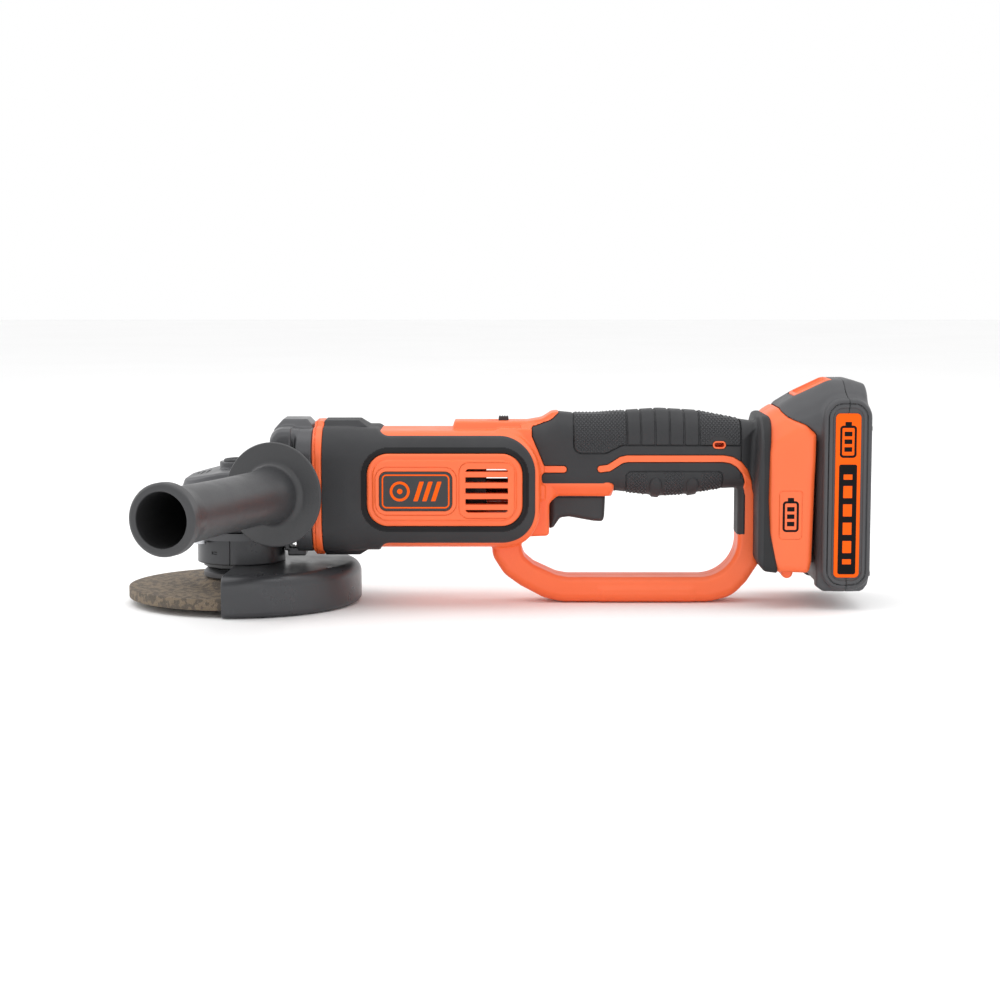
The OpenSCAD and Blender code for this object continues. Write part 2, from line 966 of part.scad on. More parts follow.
module trigger() {
    color(charcoal)
        plate_y(-trigger_y, trigger_y)
            polygon([[trigger_x0, trigger_top], [trigger_x0, 39.6], [-52, 39.6], [-49, 43.5],
                [-45, 47.8], [-40, 48.4],
                [-32, 45.6], [-25.5, 45], [-23, 47], [trigger_x1, 50], [trigger_x1, trigger_top]]);
}

module trigger_spring() {
    color(steel)
        translate([-32, 0, trigger_top])
            coil(3.6, 0.5, switch_z - trigger_top, 4);
}

module switch_module() {
    color("#2b2b2d")
        difference() {
            union() {
                box([-50, -9, switch_z], [-22, 9, 91]);
                box([-22.1, -7, 78], [-18, 7, 88]);
            }
            rod_y(-45, 86, -20, 20, 1.6);
        }
}

module lock_off_slider() {
    color(charcoal)
        union() {
            box([slider_x - 2, -5, 96.2], [slider_x + 7.4, 5, 97.9]);
            box([slider_x, -2.5, 97.8], [slider_x + 5.4, 2.5, 101.4]);
            box([slider_x + 0.7, -2.5, 101.3], [slider_x + 4.7, 2.5, 102.3]);
        }
}

// One insulated lead through points, straight between them
module lead(points, r) {
    for (i = [0:len(points) - 2]) {
        a = points[i];
        b = points[i + 1];
        d = b - a;
        translate(a)
            rotate([0, acos(d[2] / norm(d)), atan2(d[1], d[0])])
                cylinder(h = norm(d), r = r);
        translate(b)
            sphere(r + 0.3);
    }
}

module power_leads() {
    color("#8a2f26")
        for (side = [-1, 1]) {
            lead([[-16, side * 3.5, 83], [40, side * 3.5, 88], [60, side * 6, 88],
                [67, side * 8, 60]], 1.5);
            lead([[-77, side * 2.6, 86], [-52.5, side * 2.6, 86]], 1.5);
        }
}

module terminal_block() {
    color("#2b2b2d")
        union() {
            box([70, -15.5, 31], [rail_x - 0.8, 15.5, 55]);
            for (y = [-10, -3.4, 3.4, 10])
                box([rail_x - 1, y - 0.5, 33], [84, y + 0.5, 50]);
        }
}

// ---- battery ----

module pack_outline() {
    polygon([[pack_front, 12], [93, 9.4], [117, 9.4], [pack_x, 13], [pack_x, 108], [119.4, 112], [119, 121],
        [110, 124.4], [99, 124.2], [88, 120], [76, 114.6], [69.6, 112], [72.6, 109.2], [88.4, 99.6],
        [pack_front, 97]]);
}

module pack_body() {
    difference() {
        union() {
            plate_y(-33.5, 33.5)
                pack_outline();
            plate_y(-pack_y, pack_y)
                translate([107, 59.5])
                    rounded_rect(27.5, 97, 8);
            difference() {
                battery_channel(0);
                for (y = [-10, -3.4, 3.4, 10])
                    box([rail_x - 1, y - 1.4, 20], [86, y + 1.4, 53]);
            }
        }
        // room for the cells and the board
        box([94.5, -33, 12.4], [117.8, 33, 107.6]);
        // pocket of the release button
        box([button_x - 9.7, -14.7, 108], [button_x + 9.7, 14.7, 130]);
        for (z = [20, 99], y = [-35.5, 35.5])
            rod_x(96, 122, 1.5, z, y);
    }
}

module battery_case_front() {
    color(charcoal)
        intersection() {
            pack_body();
            box([60, -50, 0], [pack_split, 50, 140]);
        }
}

module battery_case_back() {
    color(charcoal)
        intersection() {
            pack_body();
            box([pack_split, -50, 0], [130, 50, 140]);
        }
}

module battery_labels() {
    color(orange)
        for (side = [-1, 1])
            plate_y(side > 0 ? pack_y : -pack_y - 0.4, side > 0 ? pack_y + 0.4 : -pack_y)
                translate([106.4, 60])
                    rounded_rect(13, 86, 2.5);
}

module battery_cells() {
    color("#4f86b8")
        for (i = [0:4])
            rod_y(cell_x, cell_z + i * cell_pitch, -cell_len / 2, cell_len / 2, cell_r);
}

module battery_board() {
    color("#2f6b3c")
        box([94.6, -22, 24], [96.2, 22, 98]);
}

module battery_screws() {
    color(steel)
        for (z = [20, 99], y = [-35.5, 35.5])
            rod_x(96, pack_x - 1.2, 1.5, z, y);
}

module release_button() {
    color(orange)
        difference() {
            plate_y(-14.4, 14.4)
                polygon([[button_x - 9.4, 112], [button_x + 9.4, 112], [button_x + 9.4, 122.6],
                    [button_x + 7.6, 123.6],
                    [button_x - 9.4, 117]]);
            translate([button_x, 0, 100])
                cylinder(h = 17, r = 5.4);
        }
}

module release_spring() {
    color(steel)
        translate([button_x, 0, 108])
            coil(4.2, 0.5, 9, 4);
}

// ---- side handle ----

module side_handle() {
    h0 = handle_neck + handle_plate;
    h1 = h0 + handle_len;
    color(charcoal)
        on_boss(-1)
            rotate_extrude()
                polygon([[stud_r, 0.3], [9, 0.3], [10, handle_neck], [handle_flange_r - 1, handle_neck],
                    [handle_flange_r, handle_neck + 1], [handle_flange_r, h0 - 1.2],
                    [handle_flange_r - 1.2, h0],
                    [24, h0], [19, h0 + 1.4], [15.8, h0 + 5], [14.6, h0 + 11], [14.2, h0 + 20],
                    [14, h0 + 60],
                    [14.4, h1 - 16], [15.2, h1 - 9.5], [17, h1 - 7], [17.9, h1 - 3.8], [17, h1 - 0.9],
                    [15.6, h1],
                    [13.6, h1 - 0.6], [12.7, h1 - 2.6], [12.3, h1 - 86], [stud_r, h1 - 92], [stud_r, 0.3]]);
}

module handle_stud() {
    color(steel)
        on_boss(-1)
            union() {
                translate([0, 0, -16])
                    cylinder(h = 38, r = stud_r);
            }
}

gear_case();
gear_case_screws();
bearing_cover();
bearing_cover_screws();
trim_ring();
housing_left();
housing_right();
housing_screws();
motor_overmold_left();
motor_overmold_right();
side_panel_left();
side_panel_right();
badge_left();
badge_right();
grip_rubber_left();
grip_rubber_right();
rear_bumper_left();
rear_bumper_right();
stator_can();
stator_magnets();
brush_carrier();
carbon_brushes();
motor_shaft();
armature_core();
armature_windings();
commutator();
cooling_fan();
front_motor_bearing();
rear_motor_bearing();
pinion();
bevel_gear();
spindle();
upper_spindle_bearing();
lower_spindle_bearing();
inner_flange();
grinding_disc();
lock_nut();
spindle_lock_button();
spindle_lock_pin();
spindle_lock_spring();
guard();
guard_collar();
guard_latch();
trigger();
trigger_spring();
switch_module();
lock_off_slider();
power_leads();
terminal_block();
battery_case_front();
battery_case_back();
battery_labels();
battery_cells();
battery_board();
battery_screws();
release_button();
release_spring();
side_handle();
handle_stud();
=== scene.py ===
"""The angle grinder's looks: skins grown from distance functions, materials, floor, light and camera."""

import json
import math

import bpy
import mathutils
import numpy as np
from numpy import hypot, maximum, minimum
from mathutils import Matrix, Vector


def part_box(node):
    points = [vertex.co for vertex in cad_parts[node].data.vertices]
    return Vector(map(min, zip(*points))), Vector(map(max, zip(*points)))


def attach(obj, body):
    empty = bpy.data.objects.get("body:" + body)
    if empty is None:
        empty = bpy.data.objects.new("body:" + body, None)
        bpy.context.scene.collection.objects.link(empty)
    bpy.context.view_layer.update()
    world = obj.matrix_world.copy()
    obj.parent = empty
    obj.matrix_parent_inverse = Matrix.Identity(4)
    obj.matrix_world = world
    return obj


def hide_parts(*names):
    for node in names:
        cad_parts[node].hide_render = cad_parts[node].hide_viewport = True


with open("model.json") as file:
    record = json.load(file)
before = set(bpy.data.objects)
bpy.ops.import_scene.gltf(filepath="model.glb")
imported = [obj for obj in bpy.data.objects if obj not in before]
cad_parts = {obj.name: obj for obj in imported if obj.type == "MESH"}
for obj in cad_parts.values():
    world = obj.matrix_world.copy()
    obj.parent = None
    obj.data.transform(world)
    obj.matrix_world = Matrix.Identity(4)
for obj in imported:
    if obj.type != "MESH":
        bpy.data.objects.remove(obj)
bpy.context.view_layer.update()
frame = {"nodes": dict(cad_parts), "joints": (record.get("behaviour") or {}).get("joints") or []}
MM = 0.001
COARSE = 1.0


def corners_mm(node):
    lo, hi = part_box(node)
    return [c / MM for c in lo], [c / MM for c in hi]


# ---- distance functions, in millimetres


def meet(a, b, r):
    """Intersection of two solids with a fillet of radius r on the edge."""
    u = maximum(a + r, 0)
    v = maximum(b + r, 0)
    return minimum(-r, maximum(a, b)) + np.sqrt(u * u + v * v)


def join(a, b, r):
    """Union of two solids with a fillet of radius r in the corner."""
    return -meet(-a, -b, r)


def cut(a, b, r=0.3):
    """Solid a without solid b."""
    return meet(a, -b, r)


def span(v, lo, hi):
    return maximum(lo - v, v - hi)


def round_rect(u, v, half_u, half_v, r):
    qu = np.abs(u) - (half_u - r)
    qv = np.abs(v) - (half_v - r)
    outside = np.sqrt(maximum(qu, 0) ** 2 + maximum(qv, 0) ** 2)
    return outside + minimum(maximum(qu, qv), 0) - r


def block(p, lo, hi, r=0.5):
    """A box with rounded edges."""
    d = [span(p[:, i], lo[i], hi[i]) for i in range(3)]
    return meet(meet(d[0], d[1], r), d[2], r)


def round_corners(corners, step=0.35):
    """The outline through corners (u, v, radius), with each corner turned on an arc."""
    points = []
    count = len(corners)
    for i, corner in enumerate(corners):
        u, v = corner[:2]
        r = corner[2] if len(corner) > 2 else 0
        here = np.array([u, v], float)
        back = np.array(corners[i - 1][:2], float) - here
        ahead = np.array(corners[(i + 1) % count][:2], float) - here
        len_back, len_ahead = np.linalg.norm(back), np.linalg.norm(ahead)
        back /= len_back
        ahead /= len_ahead
        half = 0.5 * math.acos(max(-1.0, min(1.0, float(back @ ahead))))
        if r <= 0 or half > math.pi / 2 - 0.01:
            points.append(here)
            continue
        reach = min(r / math.tan(half), 0.49 * min(len_back, len_ahead))
        r = reach * math.tan(half)
        middle = here + (back + ahead) / np.linalg.norm(back + ahead) * (r / math.sin(half))
        start = here + back * reach - middle
        end = here + ahead * reach - middle
        turn = math.atan2(start[0] * end[1] - start[1] * end[0], start @ end)
        steps = max(2, int(abs(turn) * r / step) + 1)
        for k in range(steps + 1):
            a = turn * k / steps
            c, s = math.cos(a), math.sin(a)
            points.append(middle + np.array([c * start[0] - s * start[1], s * start[0] + c * start[1]]))
    return np.array(points)


class Outline:
    """Signed distance to a closed outline, kept on a fine grid and read back between its points."""

    def __init__(self, corners, step=0.4, pad=10.0):
        points = round_corners(corners)
        self.lo = points.min(0) - pad
        self.step = step
        shape = np.ceil((points.max(0) + pad - self.lo) / step).astype(int) + 1
        u, v = np.meshgrid(*[self.lo[i] + step * np.arange(shape[i]) for i in range(2)], indexing="ij")
        nearest = np.full(u.shape, 1e9)
        inside = np.zeros(u.shape, bool)
        for a, b in zip(points, np.roll(points, -1, axis=0), strict=True):
            e = b - a
            t = np.clip(((u - a[0]) * e[0] + (v - a[1]) * e[1]) / max(float(e @ e), 1e-9), 0, 1)
            nearest = minimum(nearest, (u - a[0] - t * e[0]) ** 2 + (v - a[1] - t * e[1]) ** 2)
            if a[1] != b[1]:
                crossing = (b[0] - a[0]) * (v - a[1]) / (b[1] - a[1]) + a[0]
                inside ^= ((a[1] > v) != (b[1] > v)) & (u < crossing)
        self.grid = (np.sqrt(nearest) * np.where(inside, -1, 1)).astype(np.float32)

    def __call__(self, u, v):
        top = np.array(self.grid.shape) - 1.001
        gu = np.clip((u - self.lo[0]) / self.step, 0, top[0])
        gv = np.clip((v - self.lo[1]) / self.step, 0, top[1])
        iu, iv = gu.astype(np.int32), gv.astype(np.int32)
        fu, fv = gu - iu, gv - iv
        g = self.grid
        low = g[iu, iv] * (1 - fu) + g[iu + 1, iv] * fu
        high = g[iu, iv + 1] * (1 - fu) + g[iu + 1, iv + 1] * fu
        over = np.abs(u - self.lo[0] - gu * self.step) + np.abs(v - self.lo[1] - gv * self.step)
        return low * (1 - fv) + high * fv + over


# ---- skins


def each_chunk(f, p, size=300000):
    out = np.empty(len(p), np.float32)
    for i in range(0, len(p), size):
        out[i : i + size] = f(p[i : i + size])
    return out


def gradient(f, p, eps):
    g = np.empty_like(p)
    for axis in range(3):
        step = np.zeros(3, np.float32)
        step[axis] = eps
        g[:, axis] = (each_chunk(f, p + step) - each_chunk(f, p - step)) / (2 * eps)
    return g


CORNERS = np.array([[i, j, k] for i in (0, 1) for j in (0, 1) for k in (0, 1)])
EDGES = [(a, b) for a in range(8) for b in range(a + 1, 8) if abs(CORNERS[a] - CORNERS[b]).sum() == 1]
AROUND = [
    ((0, 0, 0), (0, -1, 0), (0, -1, -1), (0, 0, -1)),
    ((0, 0, 0), (0, 0, -1), (-1, 0, -1), (-1, 0, 0)),
    ((0, 0, 0), (-1, 0, 0), (-1, -1, 0), (0, -1, 0)),
]


def surface(f, lo, hi, h):
    """Vertices, quads and normals of the surface f = 0 inside the box, on cells of size h."""
    lo = np.array(lo, float) - 1.5 * h
    cells = 4
    coarse = 4
    slack = 1.25 * math.sqrt(3) / 2

    def crossed_blocks(blocks, size):
        middle = (lo + (blocks + 0.5) * size).astype(np.float32)
        return blocks[np.abs(each_chunk(f, middle)) < size * slack]

    size = cells * coarse * h
    counts = np.ceil((np.array(hi, float) + 1.5 * h - lo) / size).astype(int)
    blocks = np.stack(np.meshgrid(*[np.arange(c) for c in counts], indexing="ij"), -1).reshape(-1, 3)
    blocks = crossed_blocks(blocks, size)
    parts = np.stack(np.meshgrid(*[np.arange(coarse)] * 3, indexing="ij"), -1).reshape(-1, 3)
    blocks = crossed_blocks((blocks[:, None] * coarse + parts[None]).reshape(-1, 3), cells * h)
    nodes = np.stack(np.meshgrid(*[np.arange(cells + 1)] * 3, indexing="ij"), -1)
    points = lo + (blocks[:, None, None, None] * cells + nodes[None]) * h
    values = each_chunk(f, points.reshape(-1, 3).astype(np.float32)).reshape(-1, *[cells + 1] * 3)
    values[values == 0] = 1e-6
    inside = values < 0
    solid = inside.astype(np.int8)
    full = sum(solid[:, i : i + cells, j : j + cells, k : k + cells] for i, j, k in CORNERS)
    which, ci, cj, ck = np.nonzero((full > 0) & (full < 8))
    base = blocks[which] * cells + np.stack([ci, cj, ck], -1)
    corner = np.stack([values[which, ci + i, cj + j, ck + k] for i, j, k in CORNERS], -1)
    total = np.zeros((len(base), 3))
    crossed = np.zeros(len(base))
    for a, b in EDGES:
        va, vb = corner[:, a], corner[:, b]
        hit = (va < 0) != (vb < 0)
        t = np.where(hit, va / np.where(hit, va - vb, 1), 0)[:, None]
        total += hit[:, None] * (CORNERS[a] + t * (CORNERS[b] - CORNERS[a]))
        crossed += hit
    verts = (lo + (base + total / crossed[:, None]) * h).astype(np.float32)
    rows = counts * coarse * cells + 2
    key = ((base[:, 0] + 1) * rows[1] + base[:, 1] + 1) * rows[2] + base[:, 2] + 1
    order = np.argsort(key)
    keys = key[order]
    quads = []
    for axis in range(3):
        near = inside[:, :cells, :cells, :cells]
        di, dj, dk = [1 if i == axis else 0 for i in range(3)]
        far = inside[:, di : di + cells, dj : dj + cells, dk : dk + cells]
        which, ci, cj, ck = np.nonzero(near != far)
        spot = blocks[which] * cells + np.stack([ci, cj, ck], -1)
        face = []
        good = np.ones(len(spot), bool)
        for step in AROUND[axis]:
            c = spot + np.array(step)
            k = ((c[:, 0] + 1) * rows[1] + c[:, 1] + 1) * rows[2] + c[:, 2] + 1
            at = minimum(np.searchsorted(keys, k), len(keys) - 1)
            good &= keys[at] == k
            face.append(order[at])
        face = np.stack(face, -1)
        outward = near[which, ci, cj, ck]
        face[~outward] = face[~outward][:, ::-1]
        quads.append(face[good])
    quads = np.concatenate(quads)
    for _ in range(2):
        g = gradient(f, verts, 0.15 * h)
        norm = maximum((g * g).sum(1), 0.05)
        move = each_chunk(f, verts) / norm
        verts -= np.clip(move, -0.6 * h, 0.6 * h)[:, None] * g
    normals = gradient(f, verts, 0.35 * h)
    normals /= maximum(np.linalg.norm(normals, axis=1, keepdims=True), 1e-6)
    return verts, quads, normals


def new_mesh(name, verts, quads, normals=None):
    mesh = bpy.data.meshes.new(name)
    mesh.vertices.add(len(verts))
    mesh.vertices.foreach_set("co", (verts * MM).astype(np.float32).ravel())
    mesh.loops.add(quads.size)
    mesh.loops.foreach_set("vertex_index", quads.astype(np.int32).ravel())
    mesh.polygons.add(len(quads))
    mesh.polygons.foreach_set("loop_start", np.arange(0, quads.size, 4, dtype=np.int32))
    mesh.update(calc_edges=True)
    mesh.validate()
    mesh.shade_smooth()
    if normals is not None:
        mesh.normals_split_custom_set_from_vertices(normals.astype(float).tolist())
    piece = bpy.data.objects.new(name, mesh)
    bpy.context.scene.collection.objects.link(piece)
    return piece


def grow(name, f, lo, hi, h, material, body, replaces=()):
    """Makes the piece that f describes, in the box lo to hi, and puts it on its body."""
    verts, quads, normals = surface(f, lo, hi, h * COARSE)
    piece = new_mesh(name, verts, quads, normals)
    return place(piece, material, body, replaces)


def place(piece, material, body, replaces=()):
    piece.data.materials.append(material)
    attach(piece, body)
    if replaces:
        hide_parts(*replaces)
    return piece


def lathe(name, profile, origin, axis, material, body, replaces=(), turns=128):
    """Turns a closed profile of (radius, height, corner radius) about an axis through origin."""
    points = round_corners(profile, step=0.5)
    axis = np.array(axis, float) / np.linalg.norm(axis)
    side = np.cross(axis, [0.0, 0.0, 1.0] if abs(axis[2]) < 0.9 else [1.0, 0.0, 0.0])
    side /= np.linalg.norm(side)
    other = np.cross(axis, side)
    angle = 2 * np.pi * np.arange(turns) / turns
    ring = np.cos(angle)[:, None] * side + np.sin(angle)[:, None] * other
    verts = np.array(origin) + ring[:, None] * points[None, :, :1] + axis * points[None, :, 1:2]
    n = len(points)
    i, j = np.meshgrid(np.arange(turns), np.arange(n), indexing="ij")
    i2, j2 = (i + 1) % turns, (j + 1) % n
    quads = np.stack([i * n + j, i2 * n + j, i2 * n + j2, i * n + j2], -1).reshape(-1, 4)
    u, v = points[:, 0], points[:, 1]
    if (u * np.roll(v, -1) - np.roll(u, -1) * v).sum() < 0:
        quads = quads[:, ::-1]
    piece = new_mesh(name, verts.reshape(-1, 3), quads)
    piece.data.set_sharp_from_angle(angle=math.radians(32))
    return place(piece, material, body, replaces)


def paint(piece, material, inside):
    """Gives a second material to the faces whose middles are inside a region."""
    mesh = piece.data
    mesh.materials.append(material)
    middle = np.empty(len(mesh.polygons) * 3, np.float32)
    mesh.polygons.foreach_get("center", middle)
    chosen = inside(middle.reshape(-1, 3) / MM)
    mesh.polygons.foreach_set("material_index", chosen.astype(np.int32))


# ---- materials


def shader(name):
    material = bpy.data.materials.new(name)
    material.use_nodes = True
    tree = material.node_tree
    return material, tree, tree.nodes["Principled BSDF"]


def feed(tree, socket, value):
    """Links an input to an output, or sets its value."""
    if isinstance(value, bpy.types.NodeSocket):
        tree.links.new(value, socket)
    else:
        socket.default_value = value


def add(tree, kind, inputs=(), **settings):
    made = tree.nodes.new(kind)
    for key, value in settings.items():
        setattr(made, key, value)
    for key, value in dict(inputs).items():
        feed(tree, made.inputs[key], value)
    return made


def noise(tree, scale, detail=2.0, rough=0.5, stretch=(1, 1, 1)):
    """Noise fixed to the object, so that it stays put when the piece moves."""
    place_at = tree.nodes.get("Place") or add(tree, "ShaderNodeTexCoord", name="Place")
    mapping = add(tree, "ShaderNodeMapping", {"Vector": place_at.outputs["Object"], "Scale": stretch})
    inputs = {"Vector": mapping.outputs[0], "Scale": scale, "Detail": detail, "Roughness": rough}
    return add(tree, "ShaderNodeTexNoise", inputs).outputs["Fac"]


def mixed(tree, factor, a, b):
    a, b = (v if isinstance(v, bpy.types.NodeSocket) else (*v, 1) for v in (a, b))
    return add(tree, "ShaderNodeMix", {0: factor, 6: a, 7: b}, data_type="RGBA").outputs[2]


def ranged(tree, value, lo, hi, from_lo=0.0, from_hi=1.0):
    made = add(tree, "ShaderNodeMapRange", {0: value, 1: from_lo, 2: from_hi, 3: lo, 4: hi})
    return made.outputs[0]


def scaled(colour, k):
    return tuple(min(1.0, c * k) for c in colour)


def connect(tree, bsdf, tone, rough, height, strength, distance):
    bump = add(tree, "ShaderNodeBump", {"Height": height, "Strength": strength, "Distance": distance})
    for name, value in (("Base Color", tone), ("Roughness", rough), ("Normal", bump.outputs[0])):
        feed(tree, bsdf.inputs[name], value)


def moulded(name, colour, rough=0.5, vary=0.08, grain=2600, grain_depth=0.25, metallic=0.0, clouds=45,
            rough_vary=0.08, specular=0.5, scuff=0.0):
    """Moulded or coated stock: cloudy tone, a fine sparked grain, and faint handling marks."""
    material, tree, bsdf = shader(name)
    cloud = noise(tree, clouds, detail=4, rough=0.6)
    tone = mixed(tree, cloud, scaled(colour, 1 - vary), scaled(colour, 1 + vary))
    fine = noise(tree, grain, detail=2, rough=0.6)
    speckle = ranged(tree, fine, 0.0, 1.0, 0.35, 0.65)
    spark = mixed(tree, cloud, scaled(colour, 1.12), scaled(colour, 0.92))
    tone = mixed(tree, speckle, tone, spark)
    wear = noise(tree, 320, detail=6, rough=0.7, stretch=(1, 1, 0.35))
    mark = ranged(tree, wear, 0.0, scuff, 0.62, 0.72)
    tone = mixed(tree, mark, tone, scaled(colour, 1.7))
    sheen = ranged(tree, cloud, rough - rough_vary, rough + rough_vary, 0.3, 0.7)
    connect(tree, bsdf, tone, sheen, fine, grain_depth, 0.0002)
    bsdf.inputs["Metallic"].default_value = metallic
    bsdf.inputs["Specular IOR Level"].default_value = specular
    return material


def metal(name, colour, rough=0.35, vary=0.12, brush=(1, 1, 14), scale=260, depth=0.15, stain=0.0):
    """Machined or ground metal with fine tool marks and a little tarnish."""
    material, tree, bsdf = shader(name)
    lines = noise(tree, scale, detail=5, rough=0.65, stretch=brush)
    cloud = noise(tree, 60, detail=3)
    tone = mixed(tree, lines, scaled(colour, 1 - vary), scaled(colour, 1 + vary))
    dirt = ranged(tree, cloud, 0.0, stain, 0.5, 0.75)
    tone = mixed(tree, dirt, tone, scaled(colour, 0.3))
    sheen = ranged(tree, lines, rough - 0.08, rough + 0.12, 0.3, 0.7)
    connect(tree, bsdf, tone, sheen, lines, depth, 0.0001)
    bsdf.inputs["Metallic"].default_value = 1.0
    return material


def abrasive(name):
    """Resin-bonded grit: brown and grey flakes, dark pits, and a sandy surface."""
    material, tree, bsdf = shader(name)
    flakes = noise(tree, 300, detail=2.5, rough=0.5)
    patch = ranged(tree, flakes, 0.0, 1.0, 0.49, 0.52)
    tone = mixed(tree, patch, (0.1, 0.082, 0.064), (0.19, 0.145, 0.1))
    grit = noise(tree, 1700, detail=2, rough=0.7)
    tone = mixed(tree, ranged(tree, grit, 0.0, 0.45, 0.54, 0.66), tone, (0.05, 0.042, 0.034))
    glint = noise(tree, 2300, detail=1)
    tone = mixed(tree, ranged(tree, glint, 0.0, 0.4, 0.64, 0.7), tone, (0.4, 0.34, 0.28))
    height = add(tree, "ShaderNodeMath", {0: grit, 1: flakes}, operation="ADD").outputs[0]
    connect(tree, bsdf, tone, 0.86, height, 0.75, 0.0005)
    return material


ORANGE = (0.9, 0.14, 0.032)
CHARCOAL = (0.032, 0.0325, 0.035)
orange = moulded("orange_moulding", ORANGE, rough=0.42, vary=0.03, grain=3200, grain_depth=0.12,
    rough_vary=0.05, specular=0.6, scuff=0.04)
charcoal = moulded("charcoal_moulding", CHARCOAL, rough=0.5, grain=2400, grain_depth=0.3, specular=0.4,
    scuff=0.1)
rubber = moulded("charcoal_rubber", scaled(CHARCOAL, 0.95), rough=0.62, grain=2000, grain_depth=0.35,
    specular=0.35, scuff=0.08)
# painted light: a lighter copy of the grip rubber for the knurled pads, standing in for the light the
# knurl catches
lit_knurl_rubber = moulded("knurled_rubber_painted_light", scaled(CHARCOAL, 1.35), rough=0.6, vary=0.1, grain=2600,
    grain_depth=0.3, specular=0.4)
head_paint = moulded("gear_case_finish", (0.07, 0.071, 0.076), rough=0.38, grain=1500, grain_depth=0.22,
    metallic=0.2, scuff=0.2)
guard_paint = moulded("guard_coating", (0.052, 0.053, 0.057), rough=0.32, vary=0.07, grain=1800,
    grain_depth=0.12, metallic=0.3, scuff=0.25)
handle_plastic = moulded("side_handle_moulding", (0.036, 0.0365, 0.039), rough=0.4, vary=0.06, grain=1500,
    grain_depth=0.35, specular=0.5, scuff=0.08)
black = moulded("black_moulding", (0.016, 0.016, 0.017), rough=0.5, vary=0.15, grain=2400, grain_depth=0.2)
label_orange = moulded("label_print", (0.96, 0.115, 0.004), rough=0.5, vary=0.03, grain=3600,
    grain_depth=0.06, specular=0.1)
label_black = moulded("label_ink", (0.006, 0.006, 0.007), rough=0.6, vary=0.1, grain=3600,
    grain_depth=0.06, specular=0.1)
# painted shade: a darker copy of the overmold rubber for the faces down in the channel round the side
# panel
channel_shade_rubber = moulded("channel_shade_rubber", scaled(CHARCOAL, 0.45), rough=0.7, grain=2000, specular=0.2)
# painted shade: the rear bumper gets a darker copy of the grip rubber, standing in for the shade it sits
# in
shaded_bumper_rubber = moulded("shaded_bumper_rubber", scaled(CHARCOAL, 0.62), rough=0.6, grain=2000, grain_depth=0.35,
    specular=0.3)
steel = metal("ground_steel", (0.6, 0.61, 0.63), rough=0.32, stain=0.35)
dark_steel = metal("blackened_steel", (0.12, 0.12, 0.125), rough=0.42, stain=0.4)
lamination = metal("stacked_laminations", (0.34, 0.34, 0.35), rough=0.45, brush=(30, 1, 1), scale=120,
    depth=0.5)
copper = metal("lacquered_copper", (0.72, 0.3, 0.13), rough=0.3, brush=(1, 8, 8), scale=500, depth=0.5)
grit = abrasive("bonded_abrasive")
cell_wrap = moulded("cell_wrap", (0.05, 0.2, 0.5), rough=0.3, vary=0.05, grain=2600, grain_depth=0.08)
board_green = moulded("board_lacquer", (0.03, 0.2, 0.08), rough=0.35, vary=0.15, grain=1500,
    grain_depth=0.2)
lead_red = moulded("lead_insulation", (0.45, 0.03, 0.02), rough=0.45)
pad_grey = moulded("ceramic_magnet", (0.05, 0.05, 0.055), rough=0.7, vary=0.1)

NODE_FINISH = {
    steel: ["stator_can", "motor_shaft", "front_motor_bearing", "rear_motor_bearing", "pinion",
            "bevel_gear", "spindle", "upper_spindle_bearing", "lower_spindle_bearing",
            "spindle_lock_pin", "spindle_lock_spring", "trigger_spring", "release_spring",
            "handle_stud", "bearing_cover_screws"],
    dark_steel: ["gear_case_screws", "housing_screws", "battery_screws", "lock_nut", "inner_flange"],
    head_paint: ["bearing_cover"],
    lamination: ["armature_core"],
    copper: ["armature_windings", "commutator"],
    black: ["brush_carrier", "cooling_fan", "switch_module", "terminal_block"],
    pad_grey: ["stator_magnets", "carbon_brushes"],
    cell_wrap: ["battery_cells"],
    board_green: ["battery_board"],
    lead_red: ["power_leads"],
}
for finish, names in NODE_FINISH.items():
    for name in names:
        node = frame["nodes"][name]
        node.data.materials.clear()
        node.data.materials.append(finish)


# ---- places read from the frame

disc_lo, disc_hi = corners_mm("grinding_disc")
SPINDLE_X = (disc_lo[0] + disc_hi[0]) / 2
DISC_R = (disc_hi[0] - disc_lo[0]) / 2
can_lo, can_hi = corners_mm("stator_can")
AXIS_Z = (can_lo[2] + can_hi[2]) / 2
trim_lo, trim_hi = corners_mm("trim_ring")
SIDES = {"left": -1, "right": 1}
unscrew = next(joint for joint in frame["joints"] if joint["name"] == "side_handle_unscrew")
LEAN = math.atan2(-unscrew["axis"][0], -unscrew["axis"][1])
BOSS = np.array([-199.0, -45.1, 65.0])
BUTTON_X = SPINDLE_X - 1.3
TRIM_MID = 64.25
BOW_HALF = 12
BUMPER_MID, BUMPER_HALF = 62.4, (37.2, 43.4)
FOOT_SIGN_AT = (76.5, 51.0)


def out_from_spindle(p):
    return hypot(p[:, 0] - SPINDLE_X, p[:, 1])


def from_motor_axis(p):
    return hypot(p[:, 1], p[:, 2] - AXIS_Z)


def from_line(p, start, way):
    """How far along the line through start, and how far out from it; way has length 1."""
    q = p - np.array(start, np.float32)
    along = q @ np.array(way, np.float32)
    return along, np.sqrt(maximum((q * q).sum(1) - along * along, 0))


def rod(p, start, way, r, lo, hi, edge=0.4):
    """A rod along way from start, between lo and hi along it."""
    along, out = from_line(p, start, way)
    return meet(out - r, span(along, lo, hi), edge)


# ---- gear head

head_side = Outline([(-259.5, 41.2, 1.5), (-259.5, 62, 5), (-255.3, 69.9, 3.5), (-234, 74.4, 12),
    (-215, 76.4, 3), (-206.9, 77, 2.5), (-206.7, 98.7, 8), (-190, 98.7), (-190, 41.2)])
lug_side = Outline([(-206, 92), (-205.6, 97, 1), (-200.8, 102.4, 1), (-187.5, 102.4, 1.4),
    (-184.6, 98.9, 1), (-184.6, 92)])
SCREWS = [(y, z) for y in (-25, 25) for z in (38.5, 90.5)]


